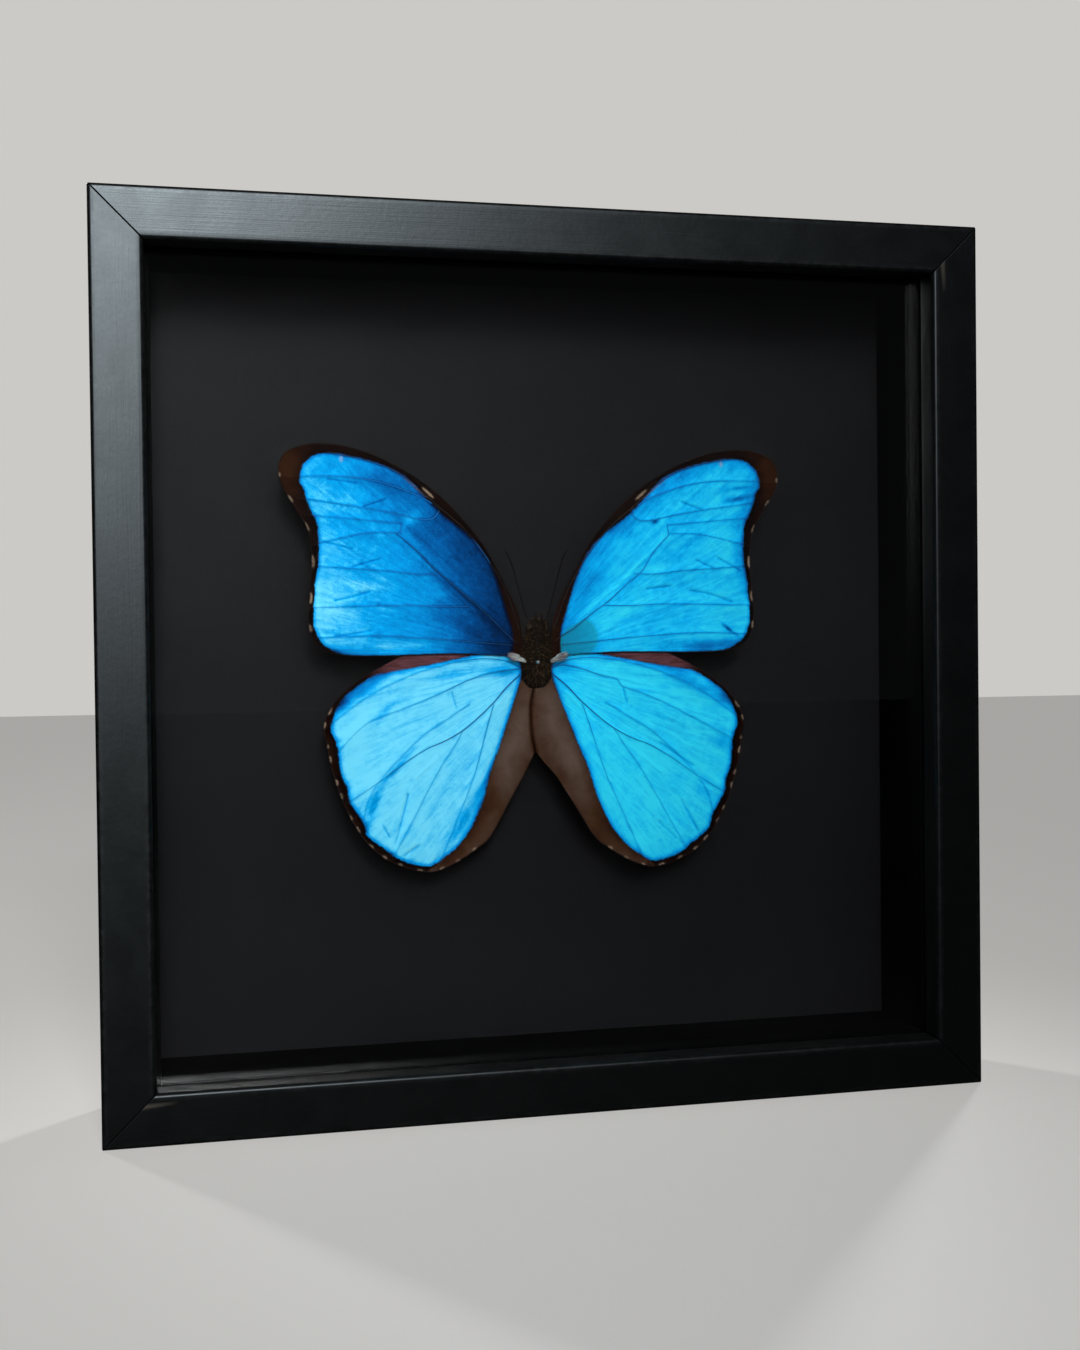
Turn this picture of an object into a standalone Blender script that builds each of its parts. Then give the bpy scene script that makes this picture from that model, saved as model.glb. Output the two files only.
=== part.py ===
"""Framed butterfly: a glazed wooden box frame with one spread butterfly pinned to a card.

The frame stands on its bottom rail. The origin is the middle of its underside, +Z is up,
+X is to the right and +Y points from the glazed front to the back. All sizes are in metres.
"""

import math

import bmesh
import bpy
from mathutils import Matrix, Vector

# Outer frame, mitred from four lengths of one rebated moulding.
FRAME_SIDE = 0.250
FRAME_DEPTH = 0.045
BAR_FACE = 0.014
BAR_WALL = 0.009
LIP_DEPTH = 0.008
INNER_ROUND = 0.0012
OUTER_ROUND = 0.0010
MITRE_GAP = 0.0003

# What lies in the rebate, from the front to the back.
CLEARANCE = 0.0003
GLASS_THICK = 0.002
SPACER_THICK = 0.005
LEFT_SPACER_SHIFT = 0.0011
BOARD_FRONT = 0.0389
BOARD_THICK = 0.0016
PANEL_THICK = 0.0022

# Steel points that hold the back in, two on each side.
TAB_THICK = 0.0004
TAB_WIDTH = 0.012
TAB_LENGTH = 0.0145
TAB_IN_WOOD = 0.0042
TAB_SPREAD = 0.058

# Toothed steel hanger on the back panel.
HANGER_LENGTH = 0.045
HANGER_HEIGHT = 0.008
HANGER_SHEET = 0.0006
HANGER_RISE = 0.0009
HANGER_FOOT = 0.0065
HANGER_BEND = 0.0020
HANGER_TEETH = 9
TOOTH_DEPTH = 0.0016
HANGER_DROP = 0.030

# The butterfly: its mid-line, the height of its wing roots and how far they lie behind the front.
BODY_X = -0.0016
ROOT_Z = 0.125
FOREWING_DEPTH = 0.0273
HINDWING_DEPTH = 0.0280
WING_THICK = 0.0004
DIHEDRAL = math.radians(2.5)

# Pin through the thorax into the card.
PIN_X = -0.0023
PIN_HEAD_DEPTH = 0.0229
PIN_HEAD_RADIUS = 0.0006
PIN_RADIUS = 0.00025
PIN_TIP_DEPTH = 0.0402
PIN_BORE = 0.00055

# Wing outlines as (outwards, upwards) from the wing root, each a smooth curve through its points.
FOREWING_OUTLINE = (
    (0.0044, 0.0086),
    (0.0059, 0.0150),
    (0.0108, 0.0250),
    (0.0165, 0.0350),
    (0.0252, 0.0450),
    (0.0334, 0.0517),
    (0.0440, 0.0577),
    (0.0535, 0.0610),
    (0.0620, 0.0619),
    (0.0680, 0.0610),
    (0.0722, 0.0587),
    (0.0739, 0.0545),
    (0.0726, 0.0495),
    (0.0690, 0.0435),
    (0.0659, 0.0375),
    (0.0649, 0.0300),
    (0.0655, 0.0205),
    (0.0660, 0.0115),
    (0.0649, 0.0074),
    (0.0623, 0.0044),
    (0.0575, 0.0028),
    (0.0460, 0.0024),
    (0.0250, 0.0027),
    (0.0110, 0.0020),
    (0.0044, 0.0012),
)
HINDWING_OUTLINE = (
    (0.0044, 0.0006),
    (0.0120, 0.0046),
    (0.0240, 0.0060),
    (0.0340, 0.0042),
    (0.0440, 0.0000),
    (0.0530, -0.0052),
    (0.0594, -0.0110),
    (0.0623, -0.0166),
    (0.0619, -0.0220),
    (0.0602, -0.0310),
    (0.0570, -0.0410),
    (0.0518, -0.0504),
    (0.0450, -0.0566),
    (0.0352, -0.0601),
    (0.0280, -0.0588),
    (0.0202, -0.0544),
    (0.0154, -0.0504),
    (0.0100, -0.0415),
    (0.0048, -0.0330),
)

# Where the two hindwing folds meet over the abdomen, as (right of the mid-line, upwards).
FOLD_SEAM = (
    (-0.0006, -0.0262),
    (-0.0019, -0.0200),
    (-0.0021, -0.0130),
    (-0.0009, -0.0078),
)
HINDWING_ROOT = (
    (0.0024, -0.0074),
    (0.0045, -0.0048),
)
HINDWING_SPLAY = 0.0012
HINDWING_STRETCH = 0.01
HINDWING_SPAN = 0.060

# Head, thorax and abdomen as (height above the wing root, half width, half depth, depth from the front).
BODY_SECTIONS = (
    (-0.0248, 0.0005, 0.0005, 0.0307),
    (-0.0240, 0.0011, 0.0010, 0.0307),
    (-0.0215, 0.0017, 0.0016, 0.0307),
    (-0.0170, 0.0021, 0.0019, 0.0307),
    (-0.0120, 0.0022, 0.0020, 0.0307),
    (-0.0085, 0.0020, 0.0018, 0.0306),
    (-0.0066, 0.0020, 0.0017, 0.0305),
    (-0.0056, 0.0028, 0.0026, 0.0291),
    (-0.0035, 0.0036, 0.0036, 0.0280),
    (0.0000, 0.0040, 0.0042, 0.0276),
    (0.0040, 0.0040, 0.0042, 0.0275),
    (0.0068, 0.0034, 0.0036, 0.0273),
    (0.0080, 0.0027, 0.0028, 0.0271),
    (0.0090, 0.0029, 0.0025, 0.0268),
    (0.0105, 0.0029, 0.0025, 0.0266),
    (0.0118, 0.0020, 0.0017, 0.0265),
    (0.0123, 0.0009, 0.0008, 0.0265),
)
ANTENNA_PATH = (
    (0.0027, 0.0126),
    (0.0039, 0.0155),
    (0.0049, 0.0195),
    (0.0060, 0.0235),
    (0.0069, 0.0270),
    (0.0079, 0.0300),
    (0.0094, 0.0322),
)
ANTENNA_DEPTH = 0.0262
ANTENNA_RADIUS = 0.00018
CLUB_RADIUS = 0.00042

HALF_SIDE = FRAME_SIDE / 2
FRONT_Y = -FRAME_DEPTH / 2
REBATE_HALF = HALF_SIDE - BAR_WALL
INSERT_HALF = REBATE_HALF - CLEARANCE
GLASS_FRONT = LIP_DEPTH + CLEARANCE
SPACER_FRONT = GLASS_FRONT + GLASS_THICK + CLEARANCE
SPACER_BACK = BOARD_FRONT - CLEARANCE
PANEL_FRONT = BOARD_FRONT + BOARD_THICK + CLEARANCE
PANEL_BACK = PANEL_FRONT + PANEL_THICK
TAB_FRONT = PANEL_BACK + CLEARANCE
CENTRE_Z = HALF_SIDE


def clear_scene():
    """Remove every object so that the model starts from nothing."""
    for old in list(bpy.data.objects):
        bpy.data.objects.remove(old, do_unlink=True)


def make_material(name, colour, roughness, metallic=0.0, alpha=1.0):
    """Return a Principled material."""
    material = bpy.data.materials.new(name)
    material.use_nodes = True
    shader = material.node_tree.nodes["Principled BSDF"]
    shader.inputs["Base Color"].default_value = (*colour, 1.0)
    shader.inputs["Roughness"].default_value = roughness
    shader.inputs["Metallic"].default_value = metallic
    shader.inputs["Alpha"].default_value = alpha
    return material


def add_object(name, bm, material=None):
    """Turn a bmesh into a scene object with outward faces."""
    bmesh.ops.recalc_face_normals(bm, faces=bm.faces)
    mesh = bpy.data.meshes.new(name)
    bm.to_mesh(mesh)
    bm.free()
    obj = bpy.data.objects.new(name, mesh)
    bpy.context.scene.collection.objects.link(obj)
    if material:
        mesh.materials.append(material)
    return obj


def add_cutter(name, bm):
    """Return a hidden object that only cuts others."""
    cutter = add_object(name, bm)
    cutter.hide_render = True
    cutter.display_type = "WIRE"
    return cutter


def cut(obj, cutter):
    """Cut one hidden shape out of an object."""
    modifier = obj.modifiers.new(cutter.name, "BOOLEAN")
    modifier.operation = "DIFFERENCE"
    modifier.object = cutter


def box_mesh(low, high):
    """Return a box between two opposite corners."""
    bm = bmesh.new()
    bmesh.ops.create_cube(bm, size=1.0)
    size = [b - a for a, b in zip(low, high)]
    middle = [(a + b) / 2 for a, b in zip(low, high)]
    bmesh.ops.scale(bm, vec=size, verts=bm.verts)
    bmesh.ops.translate(bm, vec=middle, verts=bm.verts)
    return bm


def bridge_rings(bm, rings):
    """Join a row of equal rings of vertices into a closed skin with flat ends."""
    count = len(rings[0])
    for lower, upper in zip(rings, rings[1:]):
        for i in range(count):
            j = (i + 1) % count
            bm.faces.new((lower[i], lower[j], upper[j], upper[i]))
    bm.faces.new(rings[0])
    bm.faces.new(list(reversed(rings[-1])))


def turned_mesh(profile, x, z, segments):
    """Turn a profile of (depth, radius) pairs about an axis that runs from front to back."""
    bm = bmesh.new()
    rings = []
    for depth, radius in profile:
        ring = []
        for i in range(segments):
            angle = 2 * math.pi * i / segments
            point = (x + radius * math.cos(angle), FRONT_Y + depth, z + radius * math.sin(angle))
            ring.append(bm.verts.new(point))
        rings.append(ring)
    bridge_rings(bm, rings)
    return bm


def smooth_points(points, steps, closed):
    """Return points along a Catmull-Rom curve through the given points."""
    count = len(points)
    spans = count if closed else count - 1
    result = []
    for i in range(spans):
        if closed:
            a, b, c, d = (Vector(points[(i + k) % count]) for k in (-1, 0, 1, 2))
        else:
            a, b, c, d = (Vector(points[min(max(i + k, 0), count - 1)]) for k in (-1, 0, 1, 2))
        for step in range(steps):
            t = step / steps
            point = (2 * b + (c - a) * t + (2 * a - 5 * b + 4 * c - d) * t**2
                     + (3 * b - a - 3 * c + d) * t**3) / 2
            result.append(point)
    if not closed:
        result.append(Vector(points[-1]))
    return result


def quarter_round(corner, start, turn, radius, steps=3):
    """Return the points of a rounded corner; start and turn are unit directions along its sides."""
    centre = Vector(corner) + (Vector(start) + Vector(turn)) * radius
    points = []
    for step in range(steps + 1):
        angle = math.pi / 2 * step / steps
        offset = Vector(start) * math.sin(angle) + Vector(turn) * math.cos(angle)
        points.append(centre - offset * radius)
    return points


def moulding_profile():
    """Return the section of the moulding as (inwards from the outer edge, depth) points."""
    outer_front = quarter_round((0, 0), (1, 0), (0, 1), OUTER_ROUND)
    inner_front = quarter_round((BAR_FACE, 0), (-1, 0), (0, 1), INNER_ROUND)
    lip = [Vector((BAR_FACE, LIP_DEPTH)), Vector((BAR_WALL, LIP_DEPTH))]
    back = [Vector((BAR_WALL, FRAME_DEPTH)), Vector((0, FRAME_DEPTH))]
    return list(reversed(outer_front)) + inner_front + lip + back


def place_on_side(bm, quarter_turns):
    """Turn a shape made at the middle of the bottom rail round to another side."""
    turn = Matrix.Rotation(-math.pi / 2 * quarter_turns, 4, "Y")
    bmesh.ops.transform(bm, matrix=Matrix.Translation((0, 0, CENTRE_Z)) @ turn, verts=bm.verts)


def build_rail(name, quarter_turns, material):
    """Build one mitred length of moulding, turned from the bottom into its place."""
    bm = bmesh.new()
    rings = []
    for side in (-1, 1):
        ring = []
        for inwards, depth in moulding_profile():
            reach = HALF_SIDE - inwards - MITRE_GAP * math.sqrt(0.5)
            ring.append(bm.verts.new((side * reach, FRONT_Y + depth, inwards - HALF_SIDE)))
        rings.append(ring)
    bridge_rings(bm, rings)
    place_on_side(bm, quarter_turns)
    rail = add_object(name, bm, material)
    for label, along in (("a", -TAB_SPREAD), ("b", TAB_SPREAD)):
        cut(rail, build_tab_slot(name + "_slot_" + label, along, quarter_turns))
    return rail


def build_tab_slot(name, along, quarter_turns):
    """Build the shape of the slit that a steel point is driven into."""
    half = TAB_WIDTH / 2 + CLEARANCE
    low = (along - half, FRONT_Y + TAB_FRONT - CLEARANCE, -REBATE_HALF - TAB_IN_WOOD - CLEARANCE)
    high = (along + half, FRONT_Y + TAB_FRONT + TAB_THICK + CLEARANCE, -REBATE_HALF + BAR_WALL)
    bm = box_mesh(low, high)
    place_on_side(bm, quarter_turns)
    return add_cutter(name, bm)


def build_tab(name, along, quarter_turns, material):
    """Build one steel point, a thin tongue with a round free end."""
    bm = bmesh.new()
    half = TAB_WIDTH / 2
    foot = -REBATE_HALF - TAB_IN_WOOD
    shoulder = foot + TAB_LENGTH - half
    outline = [(-half, foot), (half, foot)]
    for step in range(9):
        angle = math.pi * step / 8
        outline.append((half * math.cos(angle), shoulder + half * math.sin(angle)))
    rings = []
    for depth in (TAB_FRONT, TAB_FRONT + TAB_THICK):
        rings.append([bm.verts.new((along + x, FRONT_Y + depth, z)) for x, z in outline])
    bridge_rings(bm, rings)
    place_on_side(bm, quarter_turns)
    return add_object(name, bm, material)


def build_slab(name, half_x, low_z, high_z, front, back, material, shift_x=0.0):
    """Build a flat sheet between two depths."""
    low = (shift_x - half_x, FRONT_Y + front, low_z)
    high = (shift_x + half_x, FRONT_Y + back, high_z)
    return add_object(name, box_mesh(low, high), material)


def build_spacers(material):
    """Build the four strips that hold the glass off the card."""
    low_z = CENTRE_Z - INSERT_HALF
    high_z = CENTRE_Z + INSERT_HALF
    half = SPACER_THICK / 2
    left_x = half - INSERT_HALF + LEFT_SPACER_SHIFT
    right_x = INSERT_HALF - half
    build_slab("spacer_left", half, low_z, high_z, SPACER_FRONT, SPACER_BACK, material, left_x)
    build_slab("spacer_right", half, low_z, high_z, SPACER_FRONT, SPACER_BACK, material, right_x)
    left_end = left_x + half + CLEARANCE
    right_end = right_x - half - CLEARANCE
    middle = (left_end + right_end) / 2
    reach = (right_end - left_end) / 2
    build_slab("spacer_bottom", reach, low_z, low_z + SPACER_THICK, SPACER_FRONT, SPACER_BACK,
               material, middle)
    build_slab("spacer_top", reach, high_z - SPACER_THICK, high_z, SPACER_FRONT, SPACER_BACK,
               material, middle)


def build_sheets(glass, card, hardboard):
    """Build the glass, the card that carries the butterfly and the back panel."""
    low_z = CENTRE_Z - INSERT_HALF
    high_z = CENTRE_Z + INSERT_HALF
    build_slab("glass_pane", INSERT_HALF, low_z, high_z, GLASS_FRONT, GLASS_FRONT + GLASS_THICK, glass)
    board = build_slab("mount_board", INSERT_HALF, low_z, high_z, BOARD_FRONT,
                       BOARD_FRONT + BOARD_THICK, card)
    hole = turned_mesh(((SPACER_BACK, PIN_BORE), (PANEL_FRONT, PIN_BORE)), PIN_X, ROOT_Z, 8)
    cut(board, add_cutter("board_pin_hole", hole))
    build_slab("back_panel", INSERT_HALF, low_z, high_z, PANEL_FRONT, PANEL_BACK, hardboard)


def hanger_rise(x):
    """Return how far the hanger's strip stands off the panel at a place along it."""
    distance = HANGER_LENGTH / 2 - abs(x)
    return HANGER_RISE * min(max((distance - HANGER_FOOT) / HANGER_BEND, 0), 1)


def build_hanger(material):
    """Build the hanger, a strip raised in the middle with teeth along its lower edge."""
    half = HANGER_LENGTH / 2
    raised = half - HANGER_FOOT - HANGER_BEND
    pitch = 2 * raised / HANGER_TEETH
    stations = [(-half, 0), (-half + HANGER_FOOT, 0), (-raised, 0)]
    for tooth in range(HANGER_TEETH):
        left = -raised + tooth * pitch
        stations += [(left + pitch / 2, TOOTH_DEPTH), (left + pitch, 0)]
    stations += [(half - HANGER_FOOT, 0), (half, 0)]
    top = CENTRE_Z + INSERT_HALF - HANGER_DROP
    bm = bmesh.new()
    rings = []
    for x, notch in stations:
        near = FRONT_Y + PANEL_BACK + CLEARANCE + hanger_rise(x)
        far = near + HANGER_SHEET
        low = top - HANGER_HEIGHT + notch
        corners = ((x, near, low), (x, near, top), (x, far, top), (x, far, low))
        rings.append([bm.verts.new(corner) for corner in corners])
    bridge_rings(bm, rings)
    return add_object("wall_hanger", bm, material)


def plate_mesh(outline, depth):
    """Return a thin plate with the given (x, z) outline and its middle at a depth."""
    bm = bmesh.new()
    rings = []
    for y in (depth - WING_THICK / 2, depth + WING_THICK / 2):
        rings.append([bm.verts.new((x, y, z)) for x, z in outline])
    bridge_rings(bm, rings)
    return bm


def place_wing(name, outline, side, depth, material):
    """Place a wing at its root, with its tip raised towards the glass."""
    bm = plate_mesh([(side * u, v) for u, v in outline], 0.0)
    wing = add_object(name, bm, material)
    wing.location = (BODY_X, FRONT_Y + depth, ROOT_Z)
    wing.rotation_euler = (0, 0, -side * DIHEDRAL)
    return wing


def build_forewing(name, side, material):
    """Build one forewing."""
    curve = smooth_points(FOREWING_OUTLINE[:-1], 3, closed=False)
    outline = list(curve) + [Vector(FOREWING_OUTLINE[-1])]
    return place_wing(name, outline, side, FOREWING_DEPTH, material)


def build_hindwing(name, side, material):
    """Build one hindwing with the fold that meets its neighbour over the abdomen."""
    blade = []
    for u, v in smooth_points(HINDWING_OUTLINE, 3, closed=False):
        splay = side * HINDWING_SPLAY * min(v, 0) / HINDWING_SPAN
        blade.append(Vector((u - splay, v * (1 + side * HINDWING_STRETCH) if v < 0 else v)))
    fold = [Vector((side * x + CLEARANCE / 2, v)) for x, v in smooth_points(FOLD_SEAM, 3, closed=False)]
    fold += [Vector(point) for point in HINDWING_ROOT]
    return place_wing(name, blade + fold, side, HINDWING_DEPTH, material)


def build_body(material):
    """Build the head, thorax and abdomen as one skin with a hole for the pin."""
    bm = bmesh.new()
    segments = 16
    rings = []
    for height, half_width, half_depth, depth in BODY_SECTIONS:
        ring = []
        for i in range(segments):
            angle = 2 * math.pi * (i + 0.5) / segments
            x = BODY_X + half_width * math.cos(angle)
            y = FRONT_Y + depth + half_depth * math.sin(angle)
            ring.append(bm.verts.new((x, y, ROOT_Z + height)))
        rings.append(ring)
    bridge_rings(bm, rings)
    body = add_object("butterfly_body", bm, material)
    bore = turned_mesh(((PIN_HEAD_DEPTH - 0.002, PIN_BORE), (SPACER_BACK, PIN_BORE)), PIN_X, ROOT_Z, 8)
    cut(body, add_cutter("body_pin_bore", bore))
    return body


def build_antenna(name, side, material):
    """Build one antenna, a thin stalk that thickens into a club at its tip."""
    bm = bmesh.new()
    path = smooth_points(ANTENNA_PATH, 2, closed=False)
    rings = []
    for number, (u, v) in enumerate(path):
        along = number / (len(path) - 1)
        radius = ANTENNA_RADIUS + (CLUB_RADIUS - ANTENNA_RADIUS) * max(along - 0.7, 0) / 0.3
        ahead = path[min(number + 1, len(path) - 1)] - path[max(number - 1, 0)]
        across = Vector((-ahead.y, ahead.x)).normalized()
        ring = []
        for i in range(6):
            angle = 2 * math.pi * i / 6
            offset = across * radius * math.cos(angle)
            x = BODY_X + side * (u + offset.x)
            y = FRONT_Y + ANTENNA_DEPTH + radius * math.sin(angle)
            ring.append(bm.verts.new((x, y, ROOT_Z + v + offset.y)))
        rings.append(ring)
    bridge_rings(bm, rings)
    return add_object(name, bm, material)


def build_pin(material):
    """Build the pin, with a round head in front of the thorax and its point in the card."""
    profile = []
    for step in range(1, 6):
        angle = math.pi * step / 7
        depth = PIN_HEAD_DEPTH - PIN_HEAD_RADIUS * math.cos(angle)
        profile.append((depth, PIN_HEAD_RADIUS * math.sin(angle)))
    profile.append((PIN_HEAD_DEPTH + PIN_HEAD_RADIUS, PIN_RADIUS))
    profile.append((PIN_TIP_DEPTH - 0.0010, PIN_RADIUS))
    profile.append((PIN_TIP_DEPTH, PIN_RADIUS / 4))
    return add_object("insect_pin", turned_mesh(profile, PIN_X, ROOT_Z, 12), material)


def build_frame(lacquer, steel):
    """Build the four mitred lengths of moulding and the steel points driven into them."""
    sides = ("frame_rail_bottom", "frame_stile_left", "frame_rail_top", "frame_stile_right")
    for quarter_turns, name in enumerate(sides):
        build_rail(name, quarter_turns, lacquer)
        for half, along in enumerate((-TAB_SPREAD, TAB_SPREAD)):
            number = 2 * quarter_turns + half + 1
            build_tab("back_point_%d" % number, along, quarter_turns, steel)


def build_butterfly(body_fur, forewing, hindwing, horn, pin_metal):
    """Build the pinned butterfly."""
    build_body(body_fur)
    for label, side in (("left", -1), ("right", 1)):
        build_forewing("forewing_" + label, side, forewing)
        build_hindwing("hindwing_" + label, side, hindwing)
        build_antenna("antenna_" + label, side, horn)
    build_pin(pin_metal)


def main():
    """Build the whole framed butterfly."""
    clear_scene()
    lacquer = make_material("frame_lacquer", (0.012, 0.013, 0.014), 0.38)
    glass = make_material("glass", (0.95, 0.97, 0.96), 0.03, alpha=0.2)
    foam = make_material("spacer_paper", (0.010, 0.010, 0.010), 0.75)
    card = make_material("card", (0.028, 0.029, 0.032), 0.85)
    hardboard = make_material("hardboard", (0.20, 0.12, 0.065), 0.70)
    steel = make_material("steel", (0.55, 0.55, 0.56), 0.35, metallic=1.0)
    body_fur = make_material("body_fur", (0.035, 0.020, 0.012), 0.80)
    forewing = make_material("forewing_scales", (0.010, 0.270, 0.700), 0.35)
    hindwing = make_material("hindwing_scales", (0.050, 0.480, 0.800), 0.35)
    horn = make_material("antenna_horn", (0.020, 0.013, 0.010), 0.50)
    pin_metal = make_material("pin_metal", (0.60, 0.58, 0.54), 0.30, metallic=1.0)
    build_frame(lacquer, steel)
    build_sheets(glass, card, hardboard)
    build_spacers(foam)
    build_hanger(steel)
    build_butterfly(body_fur, forewing, hindwing, horn, pin_metal)


main()
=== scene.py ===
"""Framed butterfly: a glazed black box frame with one spread blue butterfly pinned to a card.

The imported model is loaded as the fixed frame. Every piece takes its place and its size from the
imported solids, in metres: +X is right, +Z is up, and +Y points from the glazed front to the back.
"""

import logging
import math
from dataclasses import dataclass, field
from enum import Enum

import bmesh
import bpy
import numpy as np
from mathutils import Matrix, Vector
from mathutils.geometry import delaunay_2d_cdt
from mathutils.kdtree import KDTree

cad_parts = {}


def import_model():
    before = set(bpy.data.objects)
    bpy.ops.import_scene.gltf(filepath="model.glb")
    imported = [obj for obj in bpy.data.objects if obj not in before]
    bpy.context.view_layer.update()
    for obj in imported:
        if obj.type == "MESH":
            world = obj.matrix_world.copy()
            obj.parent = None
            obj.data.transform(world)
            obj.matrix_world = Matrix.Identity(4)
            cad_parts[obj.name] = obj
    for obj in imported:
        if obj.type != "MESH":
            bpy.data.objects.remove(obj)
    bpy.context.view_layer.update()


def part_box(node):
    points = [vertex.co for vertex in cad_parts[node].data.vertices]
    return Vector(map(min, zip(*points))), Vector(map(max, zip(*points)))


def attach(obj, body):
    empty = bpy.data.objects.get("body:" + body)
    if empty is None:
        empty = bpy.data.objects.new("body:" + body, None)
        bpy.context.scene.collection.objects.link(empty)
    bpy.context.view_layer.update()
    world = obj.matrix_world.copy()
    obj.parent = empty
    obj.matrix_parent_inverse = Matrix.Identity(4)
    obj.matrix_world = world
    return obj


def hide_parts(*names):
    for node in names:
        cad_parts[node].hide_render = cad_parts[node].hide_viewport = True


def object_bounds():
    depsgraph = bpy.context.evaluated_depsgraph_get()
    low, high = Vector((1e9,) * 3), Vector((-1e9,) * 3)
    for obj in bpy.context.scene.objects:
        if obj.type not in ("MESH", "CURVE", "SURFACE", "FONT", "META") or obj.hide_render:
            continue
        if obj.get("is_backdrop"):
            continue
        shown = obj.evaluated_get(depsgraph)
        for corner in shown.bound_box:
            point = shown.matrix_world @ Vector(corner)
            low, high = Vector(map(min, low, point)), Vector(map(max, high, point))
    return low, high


LOG = logging.getLogger("framed_butterfly")
MM = 0.001
BODY = "root"
ROOT_HEIGHT = 24.8 * MM

Array = np.ndarray
Object = bpy.types.Object
Material = bpy.types.Material
Node = bpy.types.Node
Socket = bpy.types.NodeSocket
Tree = bpy.types.NodeTree
Feed = Socket | float | tuple
Colour = tuple[float, float, float]
Stops = tuple[tuple[float, Colour], ...]
Point2 = tuple[float, float]
Path = tuple[Point2, ...]


class Side(Enum):
    """The two sides of the butterfly; the value is the sign of its X axis."""

    LEFT = -1
    RIGHT = 1

    @property
    def label(self) -> str:
        """Return the side's name as used in piece names."""
        return self.name.lower()


class Rail(Enum):
    """The four lengths of moulding; the value counts quarter turns from the bottom."""

    BOTTOM = 0
    LEFT = 1
    TOP = 2
    RIGHT = 3

    @property
    def node(self) -> str:
        """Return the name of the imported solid."""
        kind = "stile" if self in (Rail.LEFT, Rail.RIGHT) else "rail"
        return f"frame_{kind}_{self.name.lower()}"


class Wing(Enum):
    """The two kinds of wing."""

    FORE = "forewing"
    HIND = "hindwing"


# ---- Mesh helpers ----


def link_object(name: str, data: bpy.types.ID) -> Object:
    """Return a new object in the scene, at the origin."""
    obj = bpy.data.objects.new(name, data)
    bpy.context.scene.collection.objects.link(obj)
    return obj


def make_object(name: str, verts: Array | list, faces: list, smooth: bool = True,
                edges: list | None = None) -> Object:
    """Make a mesh object that sits at the origin.

    Args:
        name: Name of the object and its mesh.
        verts: Vertex places in metres.
        faces: Tuples of vertex numbers.
        smooth: Whether faces are shaded smooth.
        edges: Pairs of vertex numbers, for a mesh of lines.

    Returns:
        The new object, linked to the scene.
    """
    mesh = bpy.data.meshes.new(name)
    mesh.from_pydata([tuple(v) for v in verts], edges or [], [tuple(int(i) for i in f) for f in faces])
    mesh.validate()
    mesh.polygons.foreach_set("use_smooth", [smooth] * len(mesh.polygons))
    return link_object(name, mesh)


def face_outwards(obj: Object) -> Object:
    """Turn every face of a closed piece outwards and return the piece."""
    bm = bmesh.new()
    bm.from_mesh(obj.data)
    bmesh.ops.recalc_face_normals(bm, faces=bm.faces)
    bm.to_mesh(obj.data)
    bm.free()
    return obj


def store(obj: Object, **values: Array) -> None:
    """Store named values for the piece's material, one number for each vertex."""
    for name, numbers in values.items():
        layer = obj.data.attributes.new(name, "FLOAT", "POINT")
        layer.data.foreach_set("value", np.asarray(numbers, np.float32))


def store_lie(obj: Object, uv: Array) -> None:
    """Store the UV map "lie" from one (u, v) in metres for each vertex."""
    layer = obj.data.uv_layers.new(name="lie")
    index = np.zeros(len(obj.data.loops), np.int32)
    obj.data.loops.foreach_get("vertex_index", index)
    layer.data.foreach_set("uv", np.asarray(uv, np.float32)[index].ravel())


def smooth_curve(points: Array | list, steps: int, closed: bool = False) -> Array:
    """Return points along a Catmull-Rom curve through the given points.

    Args:
        points: Control points of any dimension.
        steps: Points made for each span.
        closed: Whether the curve returns to its start.

    Returns:
        The points of the curve, without the repeated start of a closed one.
    """
    pts = np.asarray(points, float)
    count = len(pts)
    spans = count if closed else count - 1
    t = (np.arange(steps) / steps)[:, None]
    rows = []
    for i in range(spans):
        picks = [(i + k) % count if closed else min(max(i + k, 0), count - 1) for k in (-1, 0, 1, 2)]
        a, b, c, d = pts[picks]
        cubic = 2 * b + (c - a) * t + (2 * a - 5 * b + 4 * c - d) * t**2 + (3 * b - a - 3 * c + d) * t**3
        rows.append(cubic / 2)
    if not closed:
        rows.append(pts[-1:])
    return np.vstack(rows)


def resample(points: Array, spacing: float) -> Array:
    """Return points an equal distance apart along a line.

    Args:
        points: The line.
        spacing: Wanted distance between points.

    Returns:
        The new points; the first and the last stay where they were.
    """
    steps = np.linalg.norm(np.diff(points, axis=0), axis=1)
    along = np.concatenate([[0], np.cumsum(steps)])
    count = max(int(round(along[-1] / spacing)), 1) + 1
    wanted = np.linspace(0, along[-1], count)
    return np.column_stack([np.interp(wanted, along, points[:, k]) for k in range(points.shape[1])])


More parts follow.
